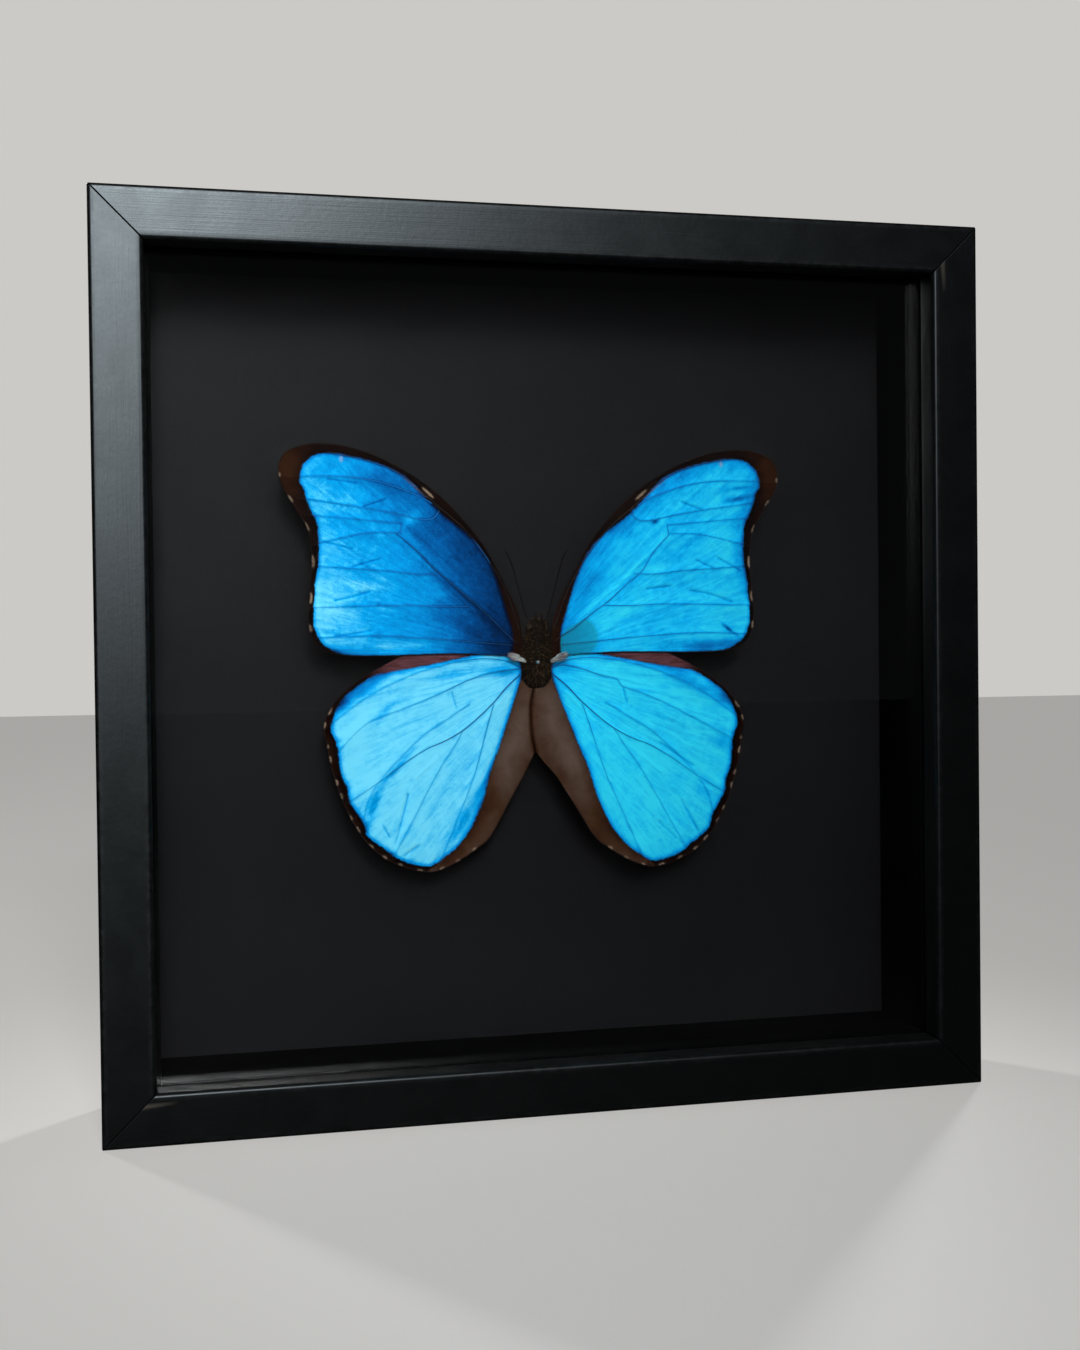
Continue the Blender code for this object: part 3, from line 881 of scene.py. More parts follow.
@dataclass(frozen=True)
class WingScales:
    """Structural blue wing scales with dusky borders, read from values stored on the wing, with painted sheen
    and painted shade in their tone.
    """

    name: str
    # Share of a pale painted sheen laid over the brightest blue; it is larger on the left wings only because
    # of how light falls on them.
    painted_sheen: float
    edge_soft: float = 0.22
    roughness: tuple[float, float] = (0.40, 0.58)
    blues: Stops = (
        (0.00, (0.0005, 0.004, 0.018)),
        (0.15, (0.0005, 0.016, 0.072)),
        (0.30, (0.0005, 0.046, 0.180)),
        (0.45, (0.0005, 0.105, 0.330)),
        (0.60, (0.0008, 0.200, 0.520)),
        (0.72, (0.0008, 0.295, 0.650)),
        (0.82, (0.0010, 0.390, 0.730)),
        (0.92, (0.0040, 0.490, 0.750)),
        (1.00, (0.0120, 0.560, 0.770)),
    )
    border: Stops = (
        (0.00, (0.0014, 0.0008, 0.0007)),
        (0.40, (0.0042, 0.0016, 0.0011)),
        (0.70, (0.0110, 0.0034, 0.0013)),
        (1.00, (0.0200, 0.0068, 0.0024)),
    )
    brown: Stops = (
        (0.00, (0.003, 0.002, 0.001)),
        (0.20, (0.018, 0.006, 0.003)),
        (0.45, (0.036, 0.016, 0.008)),
        (0.70, (0.055, 0.034, 0.025)),
        (1.00, (0.080, 0.055, 0.045)),
    )
    strip: tuple[Colour, Colour] = ((0.044, 0.014, 0.012), (0.098, 0.040, 0.050))
    pale: Colour = (0.36, 0.26, 0.19)
    # Teal colour of the painted shade patch at the right forewing's root.
    stain: Colour = (0.006, 0.190, 0.225)
    # Pale colour of the painted sheen.
    painted_sheen_colour: Colour = (0.34, 0.58, 0.80)
    underside: Colour = (0.055, 0.033, 0.020)
    gloss: float = 0.10
    glare: tuple[Colour, Colour] = ((0.13, 0.08, 0.06), (0.01, 0.22, 1.0))

    def build(self, effects: Effects) -> Material:
        """Return the wing scales."""
        material, w, shader = new_material(self.name)
        scales = w.effect(effects.scales, Lie=w.place(uv="lie"), Rows=5200.0, Streak=1000.0).outputs
        streaks = scales["Streaks"]
        patch = w.noise(w.place(), 130.0, 5.0, 0.62, 0.5)
        painted_glints = w.noise(w.place(), 420.0, 4.0, 0.7, 0.8)
        strength = w.span(w.read("shade"), 0.15, 0.80, 0.35, 1.0)
        tone = w.plus(w.read("shade"), w.times(strength, w.sway(streaks, 0.25, 0.75, 0.12)))
        # Of these, the 420-per-metre noise lifts small patches of tone as painted glints on the crumpled
        # scales; the others vary the tone at random.
        for uneven, low, high, reach in ((patch, 0.25, 0.75, 0.075), (painted_glints, 0.25, 0.75, 0.06),
                                         (scales["Tint"], 0.0, 1.0, 0.035)):
            tone = w.plus(tone, w.sway(uneven, low, high, reach))
        # Painted sheen: the brightest tones are mixed towards a pale colour.
        blue = w.mix(w.span(tone, 0.70, 1.02, 0.0, self.painted_sheen), w.ramp(tone, self.blues), self.painted_sheen_colour)
        # Painted shade: a darker teal patch at the root of the right forewing.
        blue = w.mix(w.read("stain"), blue, self.stain)
        border = w.ramp(w.plus(w.read("warm"), w.sway(streaks, 0.25, 0.75, 0.22)), self.border)
        wobble = w.sway(w.noise(w.place(uv="lie"), 900.0, 4.0, 0.7), 0.2, 0.8, 0.45)
        in_blue = w.span(w.plus(w.read("rim"), wobble), -self.edge_soft, self.edge_soft)
        strip = w.mix(w.span(streaks, 0.3, 0.7), *self.strip)
        colour = w.mix(w.read("strip"), w.mix(in_blue, border, blue), strip)
        # The fold's brown comes from its tone, which holds a painted highlight and painted shade.
        fold = w.ramp(w.plus(w.read("fold_tone"), w.span(patch, 0.2, 0.8, -0.2, 0.2)), self.brown)
        colour = w.mix(w.read("fold"), colour, fold)
        worn = w.span(w.noise(w.place(), 1900.0, 4.0, 0.7), 0.32, 0.62, 0.25, 1.0)
        colour = w.mix(w.times(w.read("pale"), worn), colour, self.pale)
        rows = w.bump(scales["Height"], 0.00003, 0.25)
        dusky = w.math("MAXIMUM", w.read("strip"), w.read("fold"))
        bare = w.math("MULTIPLY", in_blue, w.math("SUBTRACT", 1.0, dusky), clamp=True)
        w.fill(shader, {"Base Color": w.mix(w.read("under"), colour, self.underside),
                        "Roughness": w.span(patch, 0.3, 0.7, *self.roughness),
                        "Normal": w.bump(streaks, 0.00010, 0.30, rows), "Specular IOR Level": self.gloss,
                        "Specular Tint": w.mix(bare, *self.glare)})
        return material


@dataclass(frozen=True)
class FloorPaint:
    """Plain pale studio floor."""

    name: str = "studio_floor"
    colour: Colour = (0.62, 0.61, 0.59)
    bounce: float = 0.12
    glow: float = 0.60

    def build(self, effects: Effects) -> Material:
        """Return the floor paint."""
        material, w, shader = new_material(self.name)
        darker, dimmed = (tuple(share * part for part in self.colour) for share in (0.96, self.bounce))
        w.fill(shader, {"Base Color": w.mix(w.noise(w.place(), 3.0, 3.0), darker, self.colour),
                        "Roughness": 0.75,
                        "Emission Color": self.colour, "Emission Strength": self.glow})
        dim = w.add("ShaderNodeBsdfDiffuse", {"Color": dimmed})
        choose_surface(material, w, "Is Camera Ray", dim, shader)
        return material


# ---- The case ----


def turn_to_side(points: Array, rail: Rail, centre: Vector) -> Array:
    """Turn points made for the bottom rail, about the frame's centre, to another side."""
    turn = np.array(Matrix.Rotation(-math.pi / 2 * rail.value, 3, "Y"))
    return points @ turn.T + np.array(centre)


@dataclass
class Moulding:
    """Four mitred lengths of one rebated moulding."""

    finish: Material
    face: float = 14 * MM
    wall: float = 9 * MM
    lip: float = 8 * MM
    inner_round: float = 1.2 * MM
    outer_round: float = 1.0 * MM
    mitre_gap: float = 0.07 * MM
    mitre_round: float = 0.22 * MM
    station: float = 3 * MM
    chip_place: float = 11.2 * MM
    chip_size: float = 0.55 * MM
    chip_depth: float = 0.12 * MM
    inner_soft: float = 0.25 * MM
    waver: float = 0.008 * MM

    def __post_init__(self) -> None:
        """Take the frame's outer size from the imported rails."""
        self.low, self.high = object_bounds()
        self.half = (self.high.x - self.low.x) / 2
        self.depth = self.high.y - self.low.y
        self.centre = Vector((0, (self.low.y + self.high.y) / 2, (self.low.z + self.high.z) / 2))

    def profile(self) -> tuple[Array, Array]:
        """Return the section.

        Returns:
            Points as (inwards from the outer edge, depth), and nearness of each to a worn edge.
        """
        quarter, soft, lip, back = math.pi / 2, self.inner_soft, self.lip, self.depth
        outer, inner, face, wall = self.outer_round, self.inner_round, self.face, self.wall
        arcs = (((outer, outer), outer, 2, 3, 7), ((face - inner, inner), inner, -1, 0, 8),
                ((face - soft, lip - soft), soft, 0, 1, 3), ((wall, lip), 0.0, 0, 0, 0),
                ((wall - soft, back - soft), soft, 0, 1, 3), ((outer, back - outer), outer, 1, 2, 5))
        lines = (((outer, 0), (face - inner, 0), 12), ((face, inner), (face, lip - soft), 4),
                 ((face - soft, lip), (wall, lip), 3), ((wall, lip), (wall, back - soft), 8),
                 ((wall - soft, back), (outer, back), 4), ((0, back - outer), (0, outer), 14))
        points, edge = [], []
        for ((x, y), radius, first, last, steps), (start, end, cuts) in zip(arcs, lines):
            for step in range(steps + 1):
                angle = quarter * (first + (last - first) * step / max(steps, 1))
                points.append((x + radius * math.cos(angle), y + radius * math.sin(angle)))
                edge.append(1.0 if steps else 0.0)
            for step in range(1, cuts):
                share = step / cuts
                points.append(tuple(a + (b - a) * share for a, b in zip(start, end)))
                edge.append(0.0)
        return np.array(points), np.array(edge)

    def build_rail(self, rail: Rail) -> Object:
        """Build one length of moulding, eased at its mitres and slightly uneven along its face.

        Args:
            rail: Which side of the frame.

        Returns:
            The finished piece.
        """
        profile, worn = self.profile()
        run = np.concatenate([[0], np.cumsum(np.linalg.norm(np.diff(profile, axis=0), axis=1))])
        along = np.roll(profile, -1, axis=0) - np.roll(profile, 1, axis=0)
        outward = np.column_stack([along[:, 1], -along[:, 0]])
        outward /= np.linalg.norm(outward, axis=1)[:, None]
        ease_steps = np.array([0.0, 0.25, 0.5, 1.0, 1.7]) * self.mitre_round
        middle = np.arange(-self.half + 3 * self.station, self.half - 2.9 * self.station, self.station)
        rings, uv, edge, chip = [], [], [], []
        stations = [(-1, gap) for gap in ease_steps] + [(0, x) for x in middle]
        stations += [(1, gap) for gap in ease_steps[::-1]]
        for end, value in stations:
            reach = self.half - profile[:, 0] - self.mitre_gap
            if end:
                x = end * (reach - value)
                to_round = 1 - min(value / self.mitre_round, 1)
                drop = self.mitre_round * (1 - math.sqrt(max(1 - to_round**2, 0)))
            else:
                x = value * (reach / self.half)
                drop = 0.0
            waver = self.waver * ripple(x, profile[:, 0] + rail.value, 11 + rail.value, 60 * MM)
            section = profile - outward * (drop + waver[:, None] * (profile[:, 1:2] < self.lip))
            section[:, 0] = np.maximum(section[:, 0], 0)
            section[:, 1] = np.clip(section[:, 1], 0, self.depth)
            near_chip = np.zeros(len(profile))
            if rail in (Rail.BOTTOM, Rail.LEFT):
                corner = -1 if rail is Rail.BOTTOM else 1
                far = np.hypot(x - corner * (self.half - self.chip_place), profile[:, 0] - self.chip_place)
                near_chip = (1 - ease(0.2, 1.0, far / self.chip_size)) * (profile[:, 1] < self.outer_round)
                section[:, 1] += self.chip_depth * near_chip
            ring = np.column_stack([x, section[:, 1] - self.depth / 2, section[:, 0] - self.half])
            rings.append(turn_to_side(ring, rail, self.centre))
            uv.append(np.column_stack([x + rail.value * 0.5, run]))
            edge.append(np.maximum(worn, 0.6 if end and value < self.mitre_round else 0.0))
            chip.append(near_chip)
        obj = skin_over(rail.node.replace("frame_", "moulding_"), rings)
        store_lie(obj, np.vstack(uv))
        store(obj, edge=np.concatenate(edge), chip=np.concatenate(chip))
        return finish_piece(obj, self.finish, "frame_lacquer", rail.node)

    def build(self) -> None:
        """Build all four lengths."""
        for rail in Rail:
            self.build_rail(rail)


@dataclass
class SheetStock:
    """A sheet or strip with eased edges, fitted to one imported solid."""

    node: str
    name: str
    slot: str
    finish: Material
    cells: tuple[int, int] = (60, 60)
    ease_by: float = 0.25 * MM
    waver: float = 0.05 * MM
    seed: int = 3
    pin: Vector | None = None
    pin_dent: float = 0.25 * MM

    def stations(self, length: float, count: int) -> Array:
        """Return the places of the cuts along one side, closest together at its eased ends."""
        end = length / self.ease_by
        inner = np.linspace(1, end - 1, count)[1:-1]
        return self.ease_by * np.concatenate([[0, 0.3, 1], inner, [end - 1, end - 0.3, end]])

    def build(self) -> Object:
        """Build the sheet inside its solid's box.

        Returns:
            The finished piece.
        """
        low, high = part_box(self.node)
        size = high - low
        xs, zs = self.stations(size.x, self.cells[0]), self.stations(size.z, self.cells[1])
        grid_x, grid_z = np.meshgrid(low.x + xs, low.z + zs, indexing="ij")
        margin = np.minimum.reduce([grid_x - low.x, high.x - grid_x, grid_z - low.z, high.z - grid_z])
        round_off = 1 - np.clip(margin / self.ease_by, 0, 1)
        sink = np.minimum(self.ease_by * (1 - np.sqrt(np.clip(1 - round_off**2, 0, 1))), size.y * 0.45)
        rise = self.waver * (1 + ripple(grid_x, grid_z, self.seed, 60 * MM)) / 2
        if self.pin is not None:
            away = np.hypot(grid_x - self.pin.x, grid_z - self.pin.z)
            rise = rise + self.pin_dent * bell(away, 1.2 * MM)
        front = np.column_stack([grid_x.ravel(), (low.y + sink + rise).ravel(), grid_z.ravel()])
        back = np.column_stack([grid_x.ravel(), (high.y - sink).ravel(), grid_z.ravel()])
        rows, cols = grid_x.shape
        total = rows * cols
        faces = []
        for a in (i * cols + j for i in range(rows - 1) for j in range(cols - 1)):
            cell = (a, a + cols, a + cols + 1, a + 1)
            faces += [cell, tuple(total + cell[k] for k in (0, 3, 2, 1))]
        loop = [i * cols for i in range(rows)] + [(rows - 1) * cols + j for j in range(1, cols)]
        loop += [i * cols + cols - 1 for i in range(rows - 2, -1, -1)] + list(range(cols - 2, 0, -1))
        faces += [(a, total + a, total + b, b) for a, b in zip(loop, loop[1:] + loop[:1])]
        obj = face_outwards(make_object(self.name, np.vstack([front, back]), faces))
        return finish_piece(obj, self.finish, self.slot, self.node)


@dataclass
class BackFixings:
    """Steel points that hold the back in, and the toothed hanger with its two nails."""

    steel: Material
    cut_corner: float = 0.8 * MM
    teeth: int = 9
    tooth: float = 1.6 * MM
    sheet: float = 0.6 * MM
    foot: float = 6.5 * MM
    bend: float = 2.0 * MM
    soft: float = 0.12 * MM
    nail: float = 1.5 * MM
    dome: float = 0.55 * MM

    def point_tree(self) -> Tree:
        """Return a tree that sets a flat steel tongue on every seed point, turned by "turn"."""
        made = GeometryTree("steel_points", {"Width": 12 * MM, "Length": 14.5 * MM, "Thick": 0.4 * MM})
        w = made.wiring
        half = w.times(made.value("Width"), 0.5)
        body = w.math("SUBTRACT", made.value("Length"), half)
        arc = w.add("GeometryNodeCurveArc", {"Resolution": 13, "Radius": half, "Start Angle": 0.0,
                                             "Sweep Angle": math.pi, "Connect Center": False})
        moved = w.add("GeometryNodeTransform", {"Geometry": arc.outputs[0], "Translation": w.vector(y=body)})
        left, right = w.vector(w.times(half, -1.0)), w.vector(half)
        foot = w.add("GeometryNodeCurvePrimitiveLine", {"Start": left, "End": right})
        loop = w.add("GeometryNodeCurveToMesh", {"Curve": made.joined(moved, foot)})
        hull = w.add("GeometryNodeConvexHull", {"Geometry": loop.outputs[0]}).outputs[0]
        inputs = {"Mesh": hull, "Offset Scale": made.value("Thick")}
        thick = w.add("GeometryNodeExtrudeMesh", inputs, mode="FACES")
        shell = made.joined(thick, w.add("GeometryNodeFlipFaces", {"Mesh": hull}))
        whole = w.add("GeometryNodeMergeByDistance", {"Geometry": shell, "Distance": 0.00001})
        return made.set_on_points(whole.outputs[0], w.vector(math.pi / 2, made.named("turn")))

    def build_points(self) -> None:
        """Build the eight steel points as one piece."""
        seeds, turns, nodes = [], [], []
        board_low, board_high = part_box("back_panel")
        for number in range(1, 9):
            node = f"back_point_{number}"
            low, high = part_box(node)
            centre = (low + high) / 2
            out = centre - (board_low + board_high) / 2
            if abs(out.x) > abs(out.z):
                seeds.append((low.x if out.x < 0 else high.x, high.y, centre.z))
                turns.append(math.copysign(math.pi / 2, -out.x))
            else:
                seeds.append((centre.x, high.y, low.z if out.z < 0 else high.z))
                turns.append(0.0 if out.z < 0 else math.pi)
            nodes.append(node)
        seed = make_object("steel_point_seeds", seeds, [])
        store(seed, turn=turns)
        piece = face_outwards(grow(seed, self.point_tree(), self.steel, "steel_points"))
        finish_piece(piece, self.steel, "steel", *nodes)

    def build_hanger(self) -> None:
        """Build the hanger: a bent strip with sawn teeth and cut corners, and its two nails."""
        low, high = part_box("wall_hanger")
        half, height, rise = (high.x - low.x) / 2, high.z - low.z, high.y - low.y
        sheet, soft = self.sheet, self.soft
        raised = half - self.foot - self.bend
        stations = np.unique(np.concatenate([np.linspace(-half, -raised, 14), np.linspace(raised, half, 14),
                                             np.linspace(-raised, raised, self.teeth * 8 + 1)]))
        rings = []
        for x in stations:
            near = low.y + (rise - sheet) * float(ease(0, 1, (half - abs(x) - self.foot) / self.bend))
            far = near + sheet
            phase = ((x + raised) / (2 * raised) * self.teeth) % 1.0
            tooth = self.tooth * (1 - abs(2 * phase - 1)) if abs(x) < raised else 0.0
            end_cut = max(0.0, self.cut_corner - (half - abs(x)))
            bottom, top = low.z + tooth + end_cut, high.z - end_cut
            rings.append(np.array([(x, near, bottom + soft), (x, near, top - soft), (x, near + soft, top),
                                   (x, far - soft, top), (x, far, top - soft), (x, far, bottom + soft),
                                   (x, far - soft, bottom), (x, near + soft, bottom)]))
        finish_piece(skin_over("hanger_strip", rings, smooth=False), self.steel, "steel", "wall_hanger")
        for side in Side:
            x = side.value * (half - self.foot / 2)
            self.build_nail(f"hanger_nail_{side.label}", Vector((x, low.y + sheet, low.z + height * 0.55)))

    def build_nail(self, name: str, seat: Vector) -> None:
        """Build one domed nail head that sits on the hanger's foot.

        Args:
            name: Name of the piece.
            seat: Middle of the underside of the head.
        """
        turn = circle(24)
        rings = []
        for share, lift in ((0.55, 0.0), (1.0, 0.0), (1.0, 0.2), (0.85, 0.55), (0.55, 0.85), (0.15, 1.0)):
            x, z = (self.nail * share * wave(turn) for wave in (np.cos, np.sin))
            y = np.full(len(turn), seat.y + self.dome * lift)
            rings.append(np.column_stack([seat.x + x, y, seat.z + z]))
        finish_piece(skin_over(name, rings), self.steel, "steel")

    def build(self) -> None:
        """Build every fixing."""
        self.build_points()
        self.build_hanger()


# ---- Wings ----

@dataclass(frozen=True)
class Vein:
    """One vein: its path in millimetres from the wing root, and its radius at the start and end."""

    path: Path
    start: float = 0.16
    end: float = 0.06


@dataclass(frozen=True)
class Spot:
    """A soft patch of deeper or paler tone, partly painted shade and painted light, in millimetres from the
    wing root.
    """

    at: Point2
    size: Point2
    turn: float
    tone: float


COSTA_PATCHES = (Spot((31.6, 48.5), (2.5, 0.42), 42, 0.70), Spot((36.0, 50.6), (6.0, 0.24), 41, 0.25),
                 Spot((56.2, 57.6), (0.6, 1.0), 5, 0.42))


@dataclass(frozen=True)
class Speck:
    """A pale tuft of fringe in a notch of the margin: its place and its length in millimetres."""

    at: Point2
    length: float


@dataclass(frozen=True)
class WingPlan:
    """Everything drawn on one wing, in millimetres outwards and upwards from its root."""

    outline: Path
    blue_edge: Path
    veins: tuple[Vein, ...]
    creases: tuple[Path, ...]
    ridges: tuple[Path, ...]
    specks: tuple[Speck, ...]
    spots: tuple[Spot, ...]


FORE_OUTLINE: Path = (
    (4.4, 8.6), (5.9, 15), (10.8, 25), (16.5, 35), (25.2, 45), (33.4, 51.7), (44, 57.7), (53.5, 61),
    (62, 61.9), (68, 61), (72.2, 58.7), (73.9, 54.5), (72.6, 49.5), (69, 43.5), (65.9, 37.5), (64.9, 30),
    (65.5, 20.5), (66, 11.5), (64.9, 7.4), (62.3, 4.4), (57.5, 2.8), (46, 2.4), (25, 2.7), (11, 2),
    (4.4, 1.2),
)
FORE_BLUE_EDGE: Path = (
    (7.2, 8.8), (8.5, 13.5), (13.3, 27.8), (18.6, 35.4), (28.3, 43.2), (38.3, 53.3), (48.3, 57.4), (58, 59.2),
    (62.7, 58.8), (65.6, 57.2), (67.3, 54.8), (68, 51.3), (66.8, 49), (66.2, 46.5), (64.8, 43), (63.4, 40.2),
    (62.9, 36), (62.8, 31.5), (63, 28), (63.8, 24), (64.5, 16), (64.6, 11.3), (63.5, 8.3), (61.9, 5.6),
    (58.2, 3.6), (53.5, 2.6), (30, 1.6), (9, 0.3), (7.2, 3.4),
)
HIND_OUTLINE: Path = (
    (4.4, 0.6), (12, 4.6), (24, 6), (34, 4.2), (44, 0), (53, -5.2), (59.4, -11), (62.3, -16.6),
    (61.9, -22), (60.2, -31), (57, -41), (51.8, -50.4), (45, -56.6), (35.2, -60.1), (28, -58.8),
    (20.2, -54.4), (15.4, -50.4), (10, -41.5), (4.8, -33),
)
HIND_SEAM: Path = ((-0.6, -26.2), (-1.9, -20), (-2.1, -13), (-0.9, -7.8))
HIND_ROOT: Path = ((2.4, -7.4), (4.5, -4.8))
HIND_UPPER_EDGE: Path = (
    (4.5, -1), (6, 1.2), (12, 3), (20.5, 1.8), (28.4, 0.3), (36.4, -1.2), (43.5, -2.3), (47.5, -3.2),
    (53, -6.6), (56.8, -9.8),
)
HIND_OUTER_EDGE: Path = (
    (59.3, -14), (60.4, -18.5), (59.1, -22), (58.5, -26), (58, -31), (56.4, -35), (55.8, -39),
    (53.9, -42.2), (51.8, -45.8), (51.1, -49), (48.5, -51.3), (44.9, -54), (42.4, -56), (39, -57.5),
    (33.3, -58.5),
)
HIND_INNER_EDGE: Path = (
    (28.5, -55.8), (25, -53), (21.5, -48.7), (19, -44), (17, -39.5), (15.7, -35), (14.2, -30),
    (12, -24.8), (10, -19.3), (8, -14), (6.2, -9), (4.7, -4.5),
)

FORE_VEINS = (
    Vein(((39.8, 36.8), (39.3, 39.6)), 0.12, 0.12),
    Vein(((39.4, 39.6), (50.6, 40.6), (58.6, 41.3), (65.5, 41.8)), 0.07, 0.05),
    Vein(((40.2, 37), (48, 37), (55, 35.8), (64.8, 33.4)), 0.08, 0.05),
    Vein(((29.2, 25.4), (35.6, 25.3), (43.6, 26.2), (64.6, 27.6)), 0.09, 0.05),
    Vein(((20, 16.2), (28.6, 16.1), (38.6, 16.5), (65.2, 16)), 0.10, 0.05),
    Vein(((7.4, 4.9), (18.5, 5.9), (33.6, 7.2), (48.6, 8), (65, 7.4)), 0.10, 0.05),
    Vein(((28.2, 43.9), (29.2, 42.2), (30.8, 41), (34.6, 41), (40, 42.2), (52, 44.3), (68.2, 46.6)), 0.13,
         0.05),
    Vein(((28.2, 43.9), (32.6, 46.6), (37.8, 48.9), (44.6, 51.1), (52, 52.4), (61, 52.8), (71.5, 52.4)), 0.13,
         0.05),
    Vein(((5.2, 9.6), (9.2, 20.6), (14.4, 29.6), (21, 38), (28.4, 44.4), (38.6, 53), (47, 56.8),
          (60, 59.6)), 0.26, 0.12),
)
FORE_STEM = {
    Side.LEFT: Vein(((6.2, 5.6), (8.4, 7.5), (14.5, 13.5), (22.6, 20.5), (30.6, 27.3), (34.1, 31),
                     (41.1, 37)),
                    0.20, 0.12),
    Side.RIGHT: Vein(((5.6, 6), (7.6, 7.5), (11.6, 10), (16.5, 14), (21.4, 17.5), (26.4, 22), (31.3, 26),
                      (35.2, 32), (39.9, 37)), 0.18, 0.10),
}
FORE_RIDGE = {
    Side.LEFT: ((18.2, 14.8), (22, 18.2), (28.6, 24.6), (34.6, 30)),
    Side.RIGHT: ((11.6, 11.6), (19.5, 18.5), (26.4, 24.5), (33.3, 31), (39.1, 36.5)),
}
FORE_CREASES = {
    Side.LEFT: (((58.6, 18), (54, 19), (48.6, 20.5)), ((61.6, 34.5), (57, 33.4), (53.6, 32.5)),
                ((58.6, 8), (54, 8.6), (48.6, 9.5)), ((53.6, 27.5), (45.6, 29.8)), ((60, 52), (52, 51)),
                ((50, 44.5), (44, 46.5))),
    Side.RIGHT: (((48, 29.5), (53, 27)), ((54.8, 30), (61.7, 26.3)), ((46.1, 20.5), (52, 19.4), (58.8, 17)),
                 ((57.3, 9.5), (60.7, 7)), ((44, 46.4), (50, 44.2)), ((33, 21), (40, 21.8))),
}
FORE_SPECKS = (
    Speck((73.2, 53.2), 1.6), Speck((70, 46.9), 2.6), Speck((66.2, 38.6), 3), Speck((64.8, 28.8), 4.2),
    Speck((65.4, 18.6), 3.6), Speck((65.5, 10.3), 2.6),
)
FORE_SPOTS = {
    Side.LEFT: (Spot((50, 22), (9, 1.6), 8, 0.14), Spot((25.6, 22), (10, 1.1), 42, -0.20),
                Spot((12.5, 10.4), (7, 1), 42, -0.08), Spot((64, 21), (1.4, 5), 0, 0.14),
                Spot((42, 5.2), (11, 1), 0, 0.16),
                Spot((58, 3.8), (7, 1.2), 0, -0.30), Spot((36.5, 41), (3.4, 1.5), -38, 0.22),
                Spot((34.5, 36), (6, 1.6), 45, -0.12), Spot((60, 16), (5, 3), 0, 0.10),
                Spot((45, 50.5), (7, 2.5), 20, -0.14), Spot((20, 9.5), (9, 1.6), 30, -0.10),
                Spot((60, 46), (6, 3), 10, 0.08)),
    Side.RIGHT: (Spot((54, 4.2), (9.5, 1.4), 6, -0.34), Spot((61, 47.4), (4.2, 0.8), 12, -0.42),
                 Spot((61.5, 50.6), (3.4, 0.5), 8, -0.28), Spot((57.5, 9.2), (2.2, 0.5), -40, -0.40),
                 Spot((26, 14), (9, 2.4), 32, 0.12),
                 Spot((16, 22), (9, 2.2), 58, -0.16), Spot((36, 27), (6, 1.4), 4, 0.10),
                 Spot((35.7, 40.6), (1.2, 0.6), 10, -0.45), Spot((56, 50), (7, 2.4), 0, -0.06),
                 Spot((44, 4.6), (11, 1.2), 0, -0.10), Spot((30, 34), (7, 2), 45, 0.06)),
}
HIND_VEINS = (
    Vein(((4.6, -3.4), (9, -7.2), (13, -11.5), (17.4, -15.5), (22.5, -19.5), (28, -22.5), (33.5, -24.7),
          (40, -28.6), (48, -34.2), (57.6, -40.2)), 0.21, 0.05),
    Vein(((13.2, -12.2), (15.3, -18.6), (17.5, -26), (19.8, -33), (24, -43), (31, -59)), 0.13, 0.05),
    Vein(((22.5, -19.5), (25.5, -24.5), (29.4, -30), (33.5, -37), (39, -47), (44.5, -56.6)), 0.10, 0.05),
    Vein(((20.4, -12), (28.4, -17), (33.8, -20.4), (38.8, -24.8), (44.4, -30.4), (49.6, -37), (52.2, -44.5)),
         0.07, 0.05),
    Vein(((5, -1.6), (10, 0.6), (18, 1), (27, -0.4), (38, -3.6), (50, -9.4), (60.6, -17)), 0.10, 0.04),
)
HIND_UPPER_VEIN = {
    Side.LEFT: Vein(((5.2, -2), (13.3, -3), (20.4, -5), (28.4, -8.5), (38.5, -12.5), (48.5, -16),
                     (53.5, -19.5), (59.8, -26)), 0.16, 0.05),
    Side.RIGHT: Vein(((5.2, -1.6), (8.2, -1), (13.7, -2.2), (18.6, -4), (23.6, -5.2), (25.6, -7.5),
                      (31.5, -9.5), (42, -14.4), (60, -24)), 0.16, 0.05),
}
HIND_CREASES = {
    Side.LEFT: (((39, -37.5), (40.5, -43), (42, -48), (43, -51)), ((36.5, -52.5), (40.5, -55)),
                ((46.5, -46), (44.8, -49.5)), ((25.4, -8.5), (24.2, -13))),
    Side.RIGHT: (((42.4, -41), (47.3, -50)), ((35.4, -47), (40.4, -52)), ((25.6, -8), (26.6, -12)),
                 ((36.4, -24), (46.3, -31))),
}
HIND_RIDGES = (((8.5, -8.6), (12.4, -12.8), (16.6, -17)), ((30, -27), (37, -33)))
HIND_SPECKS = (
    Speck((60.6, -13.2), 2.6), Speck((62, -17), 2), Speck((61.4, -23), 1.3), Speck((60.3, -26.6), 2.4),
    Speck((58.9, -33.2), 2), Speck((57.6, -37), 2.2), Speck((55.1, -43.4), 1.7), Speck((53.5, -47), 2.2),
    Speck((49.6, -51.9), 2.2), Speck((46.2, -55), 1.8), Speck((41.8, -57.6), 1.8), Speck((36, -59.6), 2),
    Speck((30, -59.2), 1.7), Speck((25.4, -56.6), 1.8), Speck((20.4, -53.9), 1.8),
)
